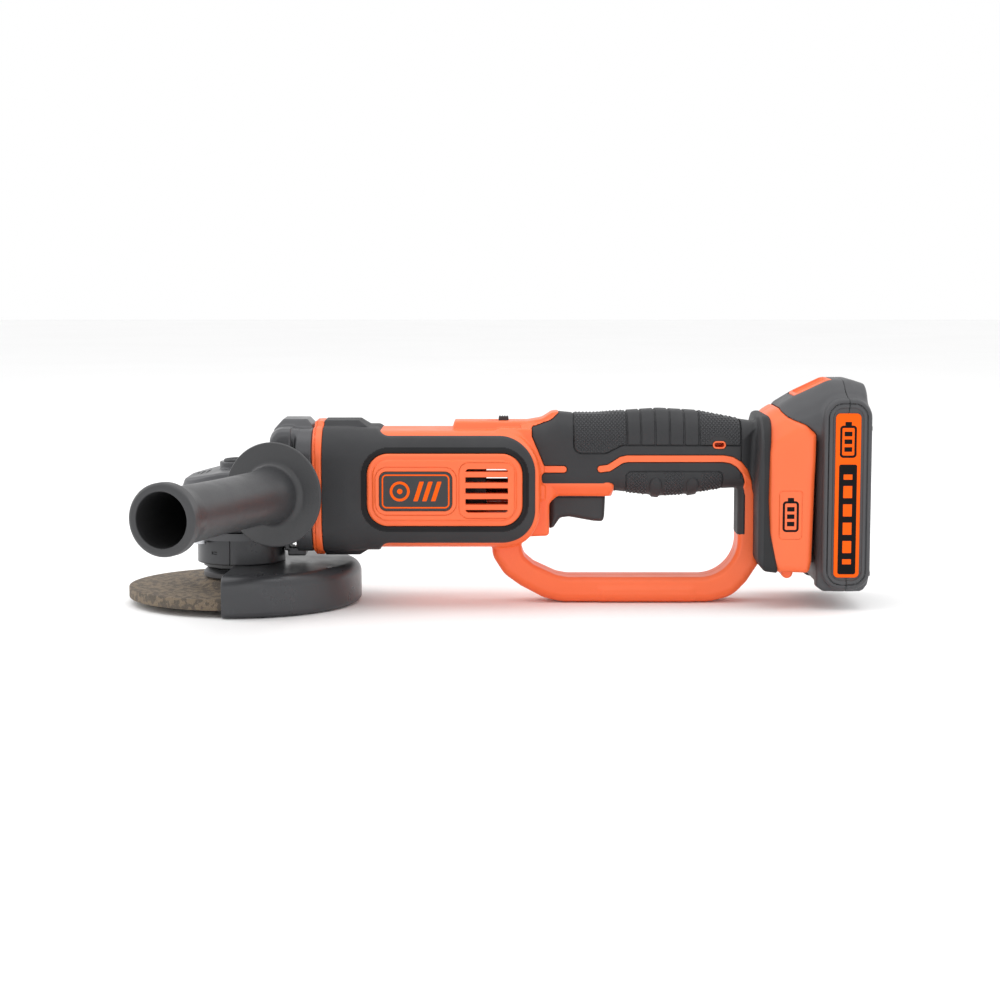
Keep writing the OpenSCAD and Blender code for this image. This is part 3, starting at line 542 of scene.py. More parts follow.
def gear_case(p):
    x, y, z = p.T
    ahead = minimum(x - SPINDLE_X, 0)
    nose = hypot(ahead, y) - 33
    low = meet(nose, span(z, 40, 76.5), 4)
    body = meet(meet(nose, head_side(x, z), 4.5), x + 195, 0.5)
    shoulder = meet(round_rect(y, z - 64, 29.5, 34.7, 7), span(x, -206.8, -190), 3)
    shoulder = meet(shoulder, head_side(x, z), 3)
    body = join(body, shoulder, 2)
    body = minimum(body, meet(low, head_side(x, z), 2))
    flange = meet(round_rect(y, z - 64, 34.2, 33.6, 14), span(x, -192.5, trim_lo[0] - 0.05), 1.0)
    body = join(body, flange, 1.0)
    lug = meet(lug_side(x, z), np.abs(y) - 14 + maximum(z - 98, 0) * 0.7, 0.7)
    body = join(body, lug, 1.2)
    for side in (-1, 1):
        way = (-math.sin(LEAN), side * math.cos(LEAN), 0)
        start = BOSS * (1, -side, 1)
        body = join(body, rod(p, start, way, 11, -22, -0.05, 1.2), 3.5)
        body = cut(body, rod(p, start, way, 4.0, -18, 5, 0.1), 0.6)
    for sy, sz in SCREWS:
        body = cut(body, rod(p, (-211, sy, sz), (1, 0, 0), 4.6, -10, 16, 0.3), 0.6)
    ring = hypot(x - BUTTON_X, y)
    body = join(body, meet(ring - 10.2, span(z, 68, 78.2), 0.7), 0.7)
    body = cut(body, meet(ring - 8.3, 70.3 - z, 0.3), 0.4)
    # shallow ribs on the slope of the nose
    for k in range(3):
        rib = block(p, (-251.2 + 3.2 * k, -9, 60), (-249.6 + 3.2 * k, 9, 80), 0.4)
        body = cut(body, meet(rib, -(head_side(x, z) + 0.7), 0.2), 0.3)
    # the gear room stays open below and the bearing seat behind
    body = cut(body, meet(out_from_spindle(p) - 22, span(z, 30, 60.8), 0.3), 0.4)
    body = cut(body, meet(from_motor_axis(p) - 24, -188 - x, 0.3), 0.4)
    body = cut(body, meet(from_motor_axis(p) - 11.1, -196.2 - x, 0.2), 0.3)
    body = cut(body, block(p, (-196.5, -2.9, 28), (-185.8, 2.9, 33.5), 0.2), 0.3)
    # room for the latch to slide back
    travel = block(p, (-202, -6.4, 25), (-195.6, 6.4, 36.8), 0.2)
    travel = minimum(travel, block(p, (-199, -6.4, 25), (-186.6, 6.4, 30.9), 0.2))
    return cut(body, travel, 0.2)


grow("gear_case_casting", gear_case, (-262, -50, 29), (-182, 50, 103), 0.75, head_paint,
    "housing", ["gear_case"])


def trim_ring(p):
    x, y, z = p.T
    up = np.abs(z - TRIM_MID)
    edge = round_rect(y, up, 35.6, 34.6, 16)
    lugs = meet(up - 37.1, np.abs(y) - 14.3 + maximum(up - 34.4, 0) * 1.1, 0.6)
    edge = join(edge, lugs, 1)
    ring = meet(edge, span(x, trim_lo[0], trim_hi[0]), 1.2)
    groove = np.abs(x - (trim_lo[0] + 1.5)) - 0.3
    ring = cut(ring, maximum(groove, -(edge + 0.45)), 0.2)
    return cut(ring, from_motor_axis(p) - 29, 0.3)


grow("trim_band", trim_ring, (-185, -37, 26), (-176.5, 37, 103), 0.5, orange, "housing",
    ["trim_ring"])


def lock_button(p):
    x, y, z = p.T
    out = hypot(x - BUTTON_X, y)
    cap = meet(out - 8.0, span(z, 74.6, 80.2 - 0.012 * out * out), 0.9)
    for k in range(-2, 3):
        rib = meet(np.abs(y - 2.6 * k) - 0.6, out - 6.6, 0.3)
        cap = cut(cap, meet(rib, 79.2 - z, 0.2), 0.35)
    return cap


grow("lock_button_cap", lock_button, (SPINDLE_X - 12, -10, 73), (SPINDLE_X + 9, 10, 82), 0.4, charcoal,
    "spindle_lock", ["spindle_lock_button"])

# ---- handle housing

BARREL_MID = 64.3
GRIP_HALF = 18.5
CORE_DEPTH = 2.3
barrel_side = Outline([(-190, 29.5), (-190, 99.1), (-59.7, 99.1, 27), (-59.7, 29.5, 24.5)])
ridge_side = Outline([(-107.5, 90), (-107.3, 98.5, 0.5), (-106.4, 101, 0.7), (-66, 101, 6),
    (-58, 102.4, 8), (-52.4, 106, 4), (-48.7, 106.2, 0.9), (-49.2, 104.6, 1), (-54, 100.5, 4),
    (-62, 97.5, 2), (-62, 90)])
neck_side = Outline([(-82, 60, 1), (-82, 97.6, 2), (-63.9, 97.6, 1), (-63.9, 93.3, 3), (-58, 79.2, 2),
    (-57, 77, 1), (-57, 73.3, 1), (-58.8, 72.2, 1), (-58.8, 66.6, 1), (-56.5, 66.4, 1), (-56.5, 58, 1)])
block_side = Outline([(-82, 36.6, 3), (-67, 37.5, 6), (-54.1, 38, 2.2), (-54.1, 56.5, 4.5),
    (-49.5, 59.8, 4), (-20.4, 59.6, 3.2), (-17.8, 66.4, 3), (-24, 70, 1), (-82, 70, 1)])
bow_out = Outline([(-86.2, 46), (-85.6, 26, 12), (-79, 15.6, 16), (-70, 9.2, 12), (-57, 2.4, 14),
    (-47, 0, 26), (35, 0, 24), (48, 3.2, 18), (56, 11.4, 16), (63.2, 22.5, 6), (64, 34, 4), (62, 84, 4),
    (54, 90, 4), (40, 80, 4), (-60, 46)])
bow_in = Outline([(-69.4, 52), (-69.2, 30, 5), (-67.6, 25.6, 5), (-62.5, 21.2, 6), (-50, 15.4, 14),
    (-44, 14.2, 14), (50.6, 14.2, 21), (50.6, 90), (30, 100), (-60, 100)])
grip_side = Outline([(-72, 100, 2), (-58, 101.4, 6), (-50.4, 105.9, 2), (-40, 104.9, 4), (-30, 104.8, 12),
    (-12, 106, 14), (7, 107.2, 26), (28, 106, 26), (51, 101.6, 10), (62, 100, 3), (62, 63.5, 3),
    (47.5, 63.8, 6), (40, 63.4, 4), (22, 60.4, 16), (7, 59.3, 20), (-9, 61.2, 12), (-18.4, 62.4, 2),
    (-19.6, 59.2, 1), (-72, 59, 2)])
foot_side = Outline([(63.4, 26, 3), (70.4, 20.2, 1), (87.2, 19.6, 2.5), (88.6, 26, 5), (90.1, 84, 20),
    (90.2, 95.6, 3), (84.5, 100.8, 5), (76.1, 105, 6), (73.6, 107.4, 3), (71, 110.6, 0.5), (63.4, 110, 2)])
crown_side = Outline([(50, -30), (50, 99.5), (64, 105.4, 4), (71.4, 110, 8), (82, 116.4, 8),
    (98.5, 124.2, 9), (110.5, 124.3, 8), (120.8, 121.4, 6), (122, 106), (130, 60), (130, -30)])
neck_zone = Outline([(-90, 58), (-90, 112), (-48.4, 112), (-48.7, 106.2, 0.6), (-49.6, 105.2, 1.5),
    (-53, 102, 6), (-60.1, 99.3, 8), (-63.9, 98.3, 1.2), (-63.9, 93.3, 3), (-58, 79.2, 2),
    (-57.2, 77, 0.8), (-44.6, 77, 1.8), (-44.6, 73.3, 1.8), (-57.4, 73.3, 0.6), (-58.8, 72, 1.2),
    (-58.8, 66.9, 1.2), (-22, 66.7, 3), (-18.2, 64.2, 2.5), (-19.4, 56)])
STRIPE = [(-25.9, 75.3), (-21.4, 75.9), (-14.6, 80.3), (-11.2, 81.0), (41.5, 81.0), (46.0, 80.2),
    (50.2, 77.7), (53.6, 73.6), (55.6, 68.0), (55.9, 62.0)]
STRIPE_HALF = 1.85
STRAP_AT, STRAP_RING = (39.1, 88.6), 0.95
CROWN_R, CROWN_FLAT, CROWN_SCALE = 20.0, 13.0, 0.6


def swept(u, v, points):
    """Distance to a run of straight pieces."""
    best = np.full(u.shape, 1e6, np.float32)
    for a, b in zip(points, points[1:], strict=False):
        e = np.subtract(b, a)
        t = np.clip(((u - a[0]) * e[0] + (v - a[1]) * e[1]) / (e @ e), 0, 1)
        best = minimum(best, (u - a[0] - t * e[0]) ** 2 + (v - a[1] - t * e[1]) ** 2)
    return np.sqrt(best)


def barrel(p, extra=0.0):
    x, y, z = p.T
    return round_rect(y, z - BARREL_MID, 33 + extra, 32.2 + extra, 17 + extra)


def grip_skin(p):
    x, y, z = p.T
    return meet(grip_side(x, z), np.abs(y) - GRIP_HALF, 13)


def orange_zone(x, z):
    """The side-view region of the grip where the orange core comes to the surface."""
    return minimum(neck_zone(x, z), swept(x, z, STRIPE) - STRIPE_HALF)


def strap_hole(x, z):
    return round_rect(x - STRAP_AT[0], z - STRAP_AT[1], 2.65, 1.2, 1.1)


def ease(t):
    t = np.clip(t, 0, 1)
    return t * t * (3 - 2 * t)


def foot_half_width(z):
    return 35.4 + 0.9 * ease((z - 70) / 14)


def crowned(p):
    """The crowned top of the foot and the pack: level over the flat, then an arc, then a slope."""
    x, y, z = p.T
    out = maximum(np.abs(y) - CROWN_FLAT, 0)
    steep = 0.832 * CROWN_R
    drop = CROWN_R - np.sqrt(CROWN_R**2 - minimum(out, steep) ** 2) + 1.5 * maximum(out - steep, 0)
    return crown_side(x, z + drop)


def foot_form(p):
    x, y, z = p.T
    foot = meet(foot_side(x, z), np.abs(y) - foot_half_width(z), 4.5)
    foot = meet(foot, CROWN_SCALE * crowned(p), 2.5)
    return join(foot, meet(hypot(x - 76, z - 19.2) - 3.2, np.abs(y) - 28, 1.5), 0.6)


def trigger_block(p):
    x, y, z = p.T
    half_width = 14 + 3.5 * maximum(ease((z - 60) / 7), ease((-48 - x) / 6))
    return meet(block_side(x, z), np.abs(y) - half_width, 2.4)


def neck_form(p):
    x, y, z = p.T
    return meet(neck_side(x, z), round_rect(y, z - 78, 19.6, 24.0, 9), 0.8)


def housing(p):
    x, y, z = p.T
    shell = meet(barrel(p), barrel_side(x, z), 2.5)
    shell = maximum(shell, trim_hi[0] + 0.03 - x)
    shell = join(shell, neck_form(p), 3)
    shell = join(shell, trigger_block(p), 1.5)
    ridge = meet(ridge_side(x, z), np.abs(y) - 9.5 - np.clip(101 - z, 0, 5) * 0.55, 1.0)
    ridge = maximum(ridge, minimum(neck_zone(x, z), x + 70) - 0.1)
    shell = join(shell, ridge, 0.6)
    # grip core, at the surface only under the stripe and the neck
    skin = grip_skin(p)
    shell = minimum(shell, skin + CORE_DEPTH)
    shell = minimum(shell, meet(skin - 0.15, maximum(orange_zone(x, z), span(x, -70, 60)), 0.4))
    shell = minimum(shell, meet(skin - 0.35, strap_hole(x, z) - STRAP_RING, 0.3))
    shell = cut(shell, maximum(strap_hole(x, z), 9 - np.abs(y)), 0.3)
    # loop handle
    outer, inner = bow_out(x, z), bow_in(x, z)
    pad = 0.7 * np.clip((27.5 - np.abs(x)) / 3, 0, 1) * np.clip((9.6 - z) / 2, 0, 1)
    bow = meet(outer, np.abs(y) - BOW_HALF - pad, 5.2)
    bevel = (np.abs(y) - BOW_HALF - pad + (2.0 - inner)) / 1.42
    bow = meet(meet(bow, bevel, 0.4), -inner, 0.7)
    bow = maximum(bow, z - 66.5)
    shell = join(shell, bow, 3.0)
    collar = meet(span(x, 62.8, 72), round_rect(y, z - 62, 33, 40, 16), 1)
    foot = foot_form(p)
    plate_edge = round_rect(x - 76.5, z - 51.8, 6.3, 13.1, 1.8)
    foot = cut(foot, maximum(np.abs(plate_edge) - 0.22, -(foot + 0.35)), 0.15)
    shell = minimum(shell, minimum(collar, foot))
    # hollows that the motor, the controls and the battery need
    shell = cut(shell, meet(from_motor_axis(p) - 26.1, span(x, -181, -73.5), 0.3), 0.4)
    window = block(p, (-100.4, -37, 52.6), (-76.6, 37, 78.2), 0.5)
    shell = cut(shell, maximum(window, 20 - np.abs(y)), 0.3)
    shell = cut(shell, block(p, (-53.9, -8.5, 48), (-22.1, 8.5, 71.5), 1.2), 0.6)
    shell = cut(shell, block(p, (-88.3, -2.9, 96), (-78.2, 2.9, 104), 0.6), 0.4)
    rails = block(p, (79.2, -25.8, 23.7), (86.1, 25.8, 120), 0.4)
    rails = minimum(rails, block(p, (84.7, -19.8, 23.7), (93, 19.8, 120), 0.4))
    shell = cut(shell, rails, 0.5)
    shell = cut(shell, block(p, (73, -24, 28), (80, 24, 96), 0.6), 0.4)
    return shell


def grow_half(name, side, f, x, y, z, h, material, slot, replaces=(), body="housing"):
    """Grows the part of f on one side of the tool, in a box whose y range is that of the right side."""
    sign = SIDES[side]
    lo, hi = sorted((sign * y[0], sign * y[1]))

    def form(p):
        return meet(f(p), 0.03 - sign * p[:, 1], 0.35)

    return grow(f"{name}_{side}", form, (x[0], lo, z[0]), (x[1], hi, z[1]), h, material, body,
        replaces)


for side in SIDES:
    grow_half("handle_housing", side, housing, (-179, 92), (-1, 40), (-1, 116), 0.62, orange,
        "orange_plastic", [f"housing_{side}"])


# ---- rubber skins

band_zone = Outline([(-200, 15), (-200, 112), (-148.8, 112), (-148.8, 94.2, 7), (-62.2, 94.2, 19.5),
    (-62.2, 35.6, 18.5), (-146.8, 35.6, 5), (-146.8, 15)])
shroud_lug = Outline([(-180, 90), (-180, 101.7, 0.6), (-159, 101.7, 1), (-152.5, 97.2, 1), (-149, 94),
    (-149, 90)])
PANEL_MID = (-111.3, 65.4)


def panel_edge(x, z):
    return round_rect(x - PANEL_MID[0], z - PANEL_MID[1], 42.2, 19.7, 11.5)


def overmold(p):
    x, y, z = p.T
    t = ease((-153 - x) / 13)
    skin = round_rect(y, z - BARREL_MID, 34.6 + 1.1 * t, 33.7 + 0.8 * t, 18.2 - 0.8 * t)
    skin = meet(skin, band_zone(x, z), 1.3)
    far = np.abs(z - BARREL_MID) + BARREL_MID
    lug = meet(shroud_lug(x, far), np.abs(y) - 14.5 + maximum(far - 98.7, 0) * 1.1, 0.5)
    skin = join(skin, lug, 0.6)
    edge = panel_edge(x, z)
    depth = 34.6 - np.abs(y)
    skin = cut(skin, maximum(33.4 - np.abs(y), (edge - 3.7 + depth * 1.6) / 1.89), 0.3)
    skin = cut(skin, meet(edge - 0.05, 30 - np.abs(y), 0.1), 0.2)
    skin = maximum(skin, -barrel(p, -1.6))
    return maximum(skin, trim_hi[0] + 0.03 - x)


def shaded_channel_zone(mid):
    x, y, z = mid.T
    return (panel_edge(x, z) < 3.3) & (np.abs(y) > 30)


for side in SIDES:
    piece = grow_half("motor_overmold_skin", side, overmold, (-179, -60), (-1, 38), (25, 103), 0.6,
        rubber, "charcoal_rubber", [f"motor_overmold_{side}"])
    # the faces in the channel round the side panel get the darker rubber, which is painted shade
    paint(piece, channel_shade_rubber, shaded_channel_zone)

NUBS = (4.3, 24.6)
PAD_RISE = 0.15
BAND_X = [-11.6, -3.9, 4.0, 11.9, 19.8, 28.1]
upper_pad = Outline([(-40.8, 112), (-40.8, 83.9, 4.5), (-23, 83.9, 5), (-14.4, 88.4, 5), (51, 88.2),
    (51, 112)])
lower_pad = Outline([(-11.9, 73.9, 3), (-11.9, 60), (-9, 52), (38, 52), (41.4, 60), (41.4, 73.9, 3)])
post_strip = Outline([(50.3, 84), (50.3, 37, 2.5), (56.4, 35.6, 3), (56.4, 84)])

bumper_side = Outline([(60.8, 106, 3.2), (58.8, 70, 40), (59, 26.5, 5), (62.6, 20.4, 4),
    (70.6, 18.6, 1.2), (65.6, 42, 16), (64.5, 60, 20), (65, 86, 20), (66.3, 101, 6), (66.4, 105.7, 3)])


def bumper_form(p):
    x, y, z = p.T
    low = round_rect(y, z - BUMPER_MID, *BUMPER_HALF, 6)
    high = round_rect(y, z - BUMPER_MID, *BUMPER_HALF, 20)
    return meet(bumper_side(x, z), np.where(z > BUMPER_MID, high, low), 2.4)


def grip_rubber(p):
    x, y, z = p.T
    skin = grip_skin(p)
    pad = upper_pad(x, z)
    bands = maximum(pad, span(x, BAND_X[0], BAND_X[-1]))
    skin = skin - (PAD_RISE * np.clip(-pad / 0.8, 0, 1) + 0.25 * np.clip(-bands / 0.8, 0, 1))
    grooves = np.abs(pad) - 0.28
    for bx in BAND_X:
        grooves = minimum(grooves, maximum(np.abs(x - bx) - 0.45, pad))
    skin = cut(skin, maximum(grooves, -(skin + 0.65)), 0.35)
    low = lower_pad(x, z)
    skin = cut(skin, maximum(np.abs(low) - 0.25, -(skin + 0.45)), 0.25)
    skin = maximum(skin, x - 59.5)
    skin = cut(skin, maximum(np.abs(x - 51.3) - 0.25, maximum(-(skin + 0.5), 70 - z)), 0.25)
    up = z - 66.5
    for nub in NUBS:
        reach = ((x - nub) / 3.1) ** 2 + (minimum(up, 0) / 9.5) ** 2 + (maximum(up, 0) / 4.0) ** 2
        lump = (np.sqrt(reach) - 1) * 2.6
        skin = join(skin, maximum(lump, skin - 1.1), 0.8)
    skin = join(skin, meet(bumper_form(p) - 0.05, 58.5 - x, 0.1), 4.5 - 2.7 * ease((z - 92) / 8))
    skin = maximum(skin, x - 62)
    post = meet(post_strip(x, z), np.abs(y) - 12.7, 4.5)
    skin = join(skin, post, 1.5)
    skin = cut(skin, orange_zone(x, z) - 0.22, 0.45)
    skin = cut(skin, strap_hole(x, z) - STRAP_RING, 0.3)
    inner = minimum(grip_skin(p) + CORE_DEPTH, housing_near_grip(p))
    return maximum(skin, -(inner + 1.5))


def housing_near_grip(p):
    """What of the orange housing lies under or beside the grip's rubber."""
    x, y, z = p.T
    near = minimum(neck_form(p), trigger_block(p))
    bow = meet(bow_out(x, z), -bow_in(x, z) + 0.02, 1)
    near = minimum(near, meet(bow, np.abs(y) - BOW_HALF, 5.2))
    return minimum(near, meet(barrel(p), barrel_side(x, z), 2.5))


KNURL_PITCH, KNURL_DEPTH = 2.0, 0.6


def knurl_height(x, z):
    """Height from 0 to 1 over a diamond knurl."""
    ways = [np.abs(((x + sign * z) / KNURL_PITCH) % 1.0 - 0.5) * 2 for sign in (1, -1)]
    return np.clip(1.5 * minimum(*ways), 0, 1)


def knurl_zone(x, z):
    upper = maximum(upper_pad(x, z), -span(x, BAND_X[0], BAND_X[-1]))
    upper = maximum(upper, 4.4 - hypot((x - STRAP_AT[0]) * 0.8, z - STRAP_AT[1]))
    nubs = minimum(np.abs(x - NUBS[0]), np.abs(x - NUBS[1]))
    return minimum(upper, maximum(lower_pad(x, z), 4.2 - nubs)) + 0.7


def knurl_pad(p):
    x, y, z = p.T
    skin = grip_skin(p)
    top = skin - PAD_RISE * np.clip(-upper_pad(x, z) / 0.8, 0, 1)
    top = top + PAD_RISE - KNURL_DEPTH * knurl_height(x, z)
    return 0.6 * maximum(maximum(top, knurl_zone(x, z)), -(skin + 1.2))


for side in SIDES:
    grow_half("grip_rubber_skin", side, grip_rubber, (-65, 62.5), (-1, 39), (20, 112), 0.5, rubber,
        "charcoal_rubber", [f"grip_rubber_{side}"])
    grow_half("grip_knurl", side, knurl_pad, (-42, 52), (1, 21), (58, 110), 0.27, lit_knurl_rubber,
        "charcoal_rubber")


def bumper(p):
    x, y, z = p.T
    return maximum(bumper_form(p), -round_rect(y, z - 62, 32, 39, 10))


for side in SIDES:
    # the bumper's darker rubber is painted shade
    grow_half("rear_bumper_skin", side, bumper, (54, 72), (-1, 39), (18, 110), 0.6, shaded_bumper_rubber,
        "charcoal_rubber", [f"rear_bumper_{side}"])

# ---- side panels and badges

VENT_X = (-100.0, -77.0)
VENT_Z = (53.3, 77.0)
VENT_BAR_Z, VENT_PITCH, VENT_BAR_T = 56.2, 5.95, 3.0
BADGE_MID = (-127.0, 64.9)


def badge_edge(x, z):
    return round_rect(x - BADGE_MID[0], z - BADGE_MID[1], 19.7, 10.6, 4)


def side_panel(p):
    x, y, z = p.T
    edge, out = panel_edge(x, z), np.abs(y)
    form = meet(edge, out - 35.3, 1.5)
    form = join(form, meet(edge + 3.2, out - 36.6, 0.9), 0.5)
    vent_mid = sum(VENT_X) / 2
    vent_frame = np.abs(round_rect(x - vent_mid, z - 65.3, 15.1, 15.2, 5.5)) - 0.2
    badge_frame = np.abs(badge_edge(x, z) - 2.4) - 0.2
    form = cut(form, maximum(minimum(vent_frame, badge_frame), 36.25 - out), 0.15)
    form = cut(form, meet(badge_edge(x, z) - 0.15, 35.95 - out, 0.1), 0.15)
    window = round_rect(x - vent_mid, z - sum(VENT_Z) / 2, 11.5, (VENT_Z[1] - VENT_Z[0]) / 2, 1.8)
    between = np.abs((z - VENT_BAR_Z + VENT_PITCH / 2) % VENT_PITCH - VENT_PITCH / 2) - VENT_BAR_T / 2
    form = cut(form, maximum(window, -between), 0.3)
    return maximum(form, -barrel(p, -1.5))


def badge_line(x, z):
    return np.abs(badge_edge(x, z) + 1.75) - 0.42


def badge_sign(x, z, side):
    """A plain sign in place of a name: a wheel and three slanted strokes."""
    u = (x - BADGE_MID[0]) * -SIDES[side]
    v = z - BADGE_MID[1]
    wheel = np.abs(hypot(u + 8.6, v) - 4.7) - 0.75
    hub = hypot(u + 8.6, v) - 1.5
    lean = u - 0.32 * v
    strokes = minimum.reduce([np.abs(lean - at) - 1.25 for at in (1.6, 6.4, 11.2)])
    strokes = meet(strokes, np.abs(v) - 5.4, 0.4)
    return minimum(minimum(wheel, hub), strokes)


def badge_plate(p):
    x, y, z = p.T
    return meet(badge_edge(x, z), span(np.abs(y), 35.3, 36.92), 0.35)


def badge_inlay(side):
    def form(p):
        x, y, z = p.T
        return meet(minimum(badge_line(x, z), badge_sign(x, z, side)), span(np.abs(y), 36.0, 37.02), 0.08)

    return form


for side in SIDES:
    grow_half("side_panel_skin", side, side_panel, (-155, -67), (30, 38.5), (44, 87), 0.45, orange,
        "orange_plastic", [f"side_panel_{side}"])
    badge_box = (-148, -106), (30, 38.5), (53, 77)
    grow_half("badge_plate", side, badge_plate, *badge_box, 0.3, charcoal, "charcoal_plastic",
        [f"badge_{side}"])
    grow_half("badge_inlay", side, badge_inlay(side), *badge_box, 0.22, label_orange, "orange_plastic")


# ---- controls

trigger_side = Outline([(-53.95, 64, 0.5), (-53.95, 40.6, 0.8), (-51.4, 41.6, 2), (-47.8, 46.9, 3),
    (-43, 47.5, 4), (-29.7, 45.1, 4), (-24, 44.7, 3.8), (-23.2, 48, 3), (-22.8, 58, 4), (-22.6, 64, 0.5)])


def trigger(p):
    x, y, z = p.T
    form = meet(trigger_side(x, z), np.abs(y) - 8.0, 3.4)
    return cut(form, maximum(np.abs(z - 58.6) - 0.2, -(form + 0.3)), 0.1)


grow("trigger_paddle", trigger, (-55, -9, 38), (-21, 9, 66), 0.45, charcoal, "trigger",
    ["trigger"])

slider_lo, slider_hi = corners_mm("lock_off_slider")


def slider(p):
    x, y, z = p.T
    mid = (slider_lo[0] + slider_hi[0]) / 2
    plate_form = block(p, (slider_lo[0], -5, 96.2), (slider_hi[0], 5, 97.9), 0.3)
    top = 103.4
    lean = maximum(z - 99.5, 0) * 0.12
    knob = meet(np.abs(x - mid) - 3.05 + lean, np.abs(y) - 2.5, 0.5)
    knob = meet(knob, span(z, 96.5, top), 0.5)
    for k in (-1, 0, 1):
        knob = cut(knob, meet(np.abs(x - mid - 1.35 * k) - 0.22, top - 0.35 - z, 0.1), 0.2)
    return minimum(plate_form, knob)


grow("lock_off_knob", slider, (slider_lo[0] - 1, -6, 95), (slider_hi[0] + 1, 6, 104), 0.25, charcoal,
    "lock_off", ["lock_off_slider"])


# ---- guard and disc

guard_profile = Outline([(-20, 22.5), (67, 22.5, 6.5), (67, 0, 3.2), (-20, 0)])
GUARD_T = 1.8
HALF_OPENING = math.radians(87)


def guard(p):
    x, y, z = p.T
    r = out_from_spindle(p)
    edge = guard_profile(r, z)
    sheet = np.abs(edge + GUARD_T / 2) - GUARD_T / 2
    sheet = cut(sheet, meet(r - 62.6, z - 12, 0.5), 0.7)
    sheet = cut(sheet, r - 21.45, 0.4)
    opening = np.abs(y) * math.cos(HALF_OPENING) + (x - SPINDLE_X) * math.sin(HALF_OPENING)
    return meet(sheet, -opening, 0.6)


grow("guard_sheet", guard, (SPINDLE_X - 5, -69, -1), (SPINDLE_X + 69, 69, 24), 0.6, guard_paint,
    "wheel_guard", ["guard"])

collar_lo, collar_hi = corners_mm("guard_collar")


def collar(p):
    x, y, z = p.T
    r = out_from_spindle(p)
    band = meet(maximum(r - 24.4, 21.1 - r), span(z, collar_lo[2] + 0.02, collar_hi[2]), 0.5)
    for turn, half_width, lo, hi in ((-98.7, 0.2, 20, 40), (-121, 1.8, 28.4, 29.6), (65, 0.2, 20, 40)):
        a = math.radians(turn)
        across = -(x - SPINDLE_X) * math.sin(a) + y * math.cos(a)
        ahead = (x - SPINDLE_X) * math.cos(a) + y * math.sin(a)
        notch = maximum(maximum(np.abs(across) - half_width, span(z, lo, hi)), 23.6 - ahead)
        band = cut(band, notch, 0.1)
    return band


grow("guard_collar_band", collar, (SPINDLE_X - 26, -26, 22), (SPINDLE_X + 26, 26, 38), 0.4, guard_paint,
    "wheel_guard", ["guard_collar"])

LATCH_END = corners_mm("guard_latch")[1][0]


def latch(p):
    x, y, z = p.T
    form = block(p, (-201.2, -6, 28.6), (-198.4, 6, 36.4), 0.6)
    form = join(form, block(p, (-199.5, -6, 25.6), (LATCH_END, 6, 30.6), 0.8), 0.8)
    for k in range(4):
        form = cut(form, maximum(np.abs(x - LATCH_END + 1.6 + 1.7 * k) - 0.35, 30.0 - z), 0.2)
    return minimum(form, block(p, (-194.5, -2.5, 29), (LATCH_END, 2.5, 33), 0.3))


grow("guard_latch_lever", latch, (-203, -7, 23), (-188, 7, 38), 0.35, dark_steel, "guard_latch",
    ["guard_latch"])

WHEEL = [(11.1, 8, 0.2), (20, 8, 2), (27, 3.5, 3), (DISC_R, 3.5, 0.5), (DISC_R, 9.5, 0.5),
    (25.5, 9.5, 3), (18, 14, 2), (11.1, 14, 0.2)]
lathe("grinding_wheel", WHEEL, (SPINDLE_X, 0, 0), (0, 0, 1), grit, "spindle_line",
    ["grinding_disc"], turns=160)


# ---- side handle

handle_way = (-math.sin(LEAN), -math.cos(LEAN), 0)
FLANGE_AT, GRIP_END = 10.5, 132.4
HANDLE = [(4.1, 0.3, 0), (9.2, 0.3, 0.8), (10.2, 8.0, 1.5), (27.6, 8.2, 0.8), (28.2, 9.3, 1.2),
    (27.9, FLANGE_AT, 0.8), (15.2, FLANGE_AT + 0.4, 3.6), (14.6, 22, 12), (14.2, 31, 20),
    (14.0, 70, 40), (14.5, 112, 14), (15.6, 124.0, 1.0), (18.1, 124.6, 2.6), (18.1, 131.4, 3.0),
    (16.4, GRIP_END, 1.8), (13.8, GRIP_END - 0.1, 0.9), (13.5, 128, 2), (12.4, 45, 1), (4.1, 39, 0)]
handle = lathe("side_handle_grip", HANDLE, BOSS, handle_way, handle_plastic, "side_handle",
    ["side_handle"], turns=160)


def bore_painted_shade(mid):
    along, out = from_line(mid, BOSS, handle_way)
    return (out < 13.75) & (along > 36)


# painted shade: the faces inside the blind bore at the end of the side handle get the black moulding
paint(handle, black, bore_painted_shade)


# ---- battery

PACK_MID = 106.7
BLOCK_MID = 49.7
pack_side = Outline([(91, 12.4, 1.5), (95, 9.6, 3), (116.4, 9.6, 4), (119.3, 13.6, 3), (120.7, 106, 5),
    (119.2, 109.6, 2), (118.3, 111, 1), (119.9, 130), (71.6, 130), (71.6, 110.4, 0.6), (70.5, 107, 0.3),
    (73.2, 104, 2), (84, 97, 3), (91, 92, 3)])
KEY_MID, KEY_HALF = 91.0, 10.2


def rim_edge(x, z, inset=0.0):
    return round_rect(x - PACK_MID, z - 63.2, 13.1 - inset, 51.9 - inset, 10.5 - inset)


def label_edge(x, z):
    return round_rect(x - PACK_MID, z - 62.6, 6.9, 44.7, 2.6)


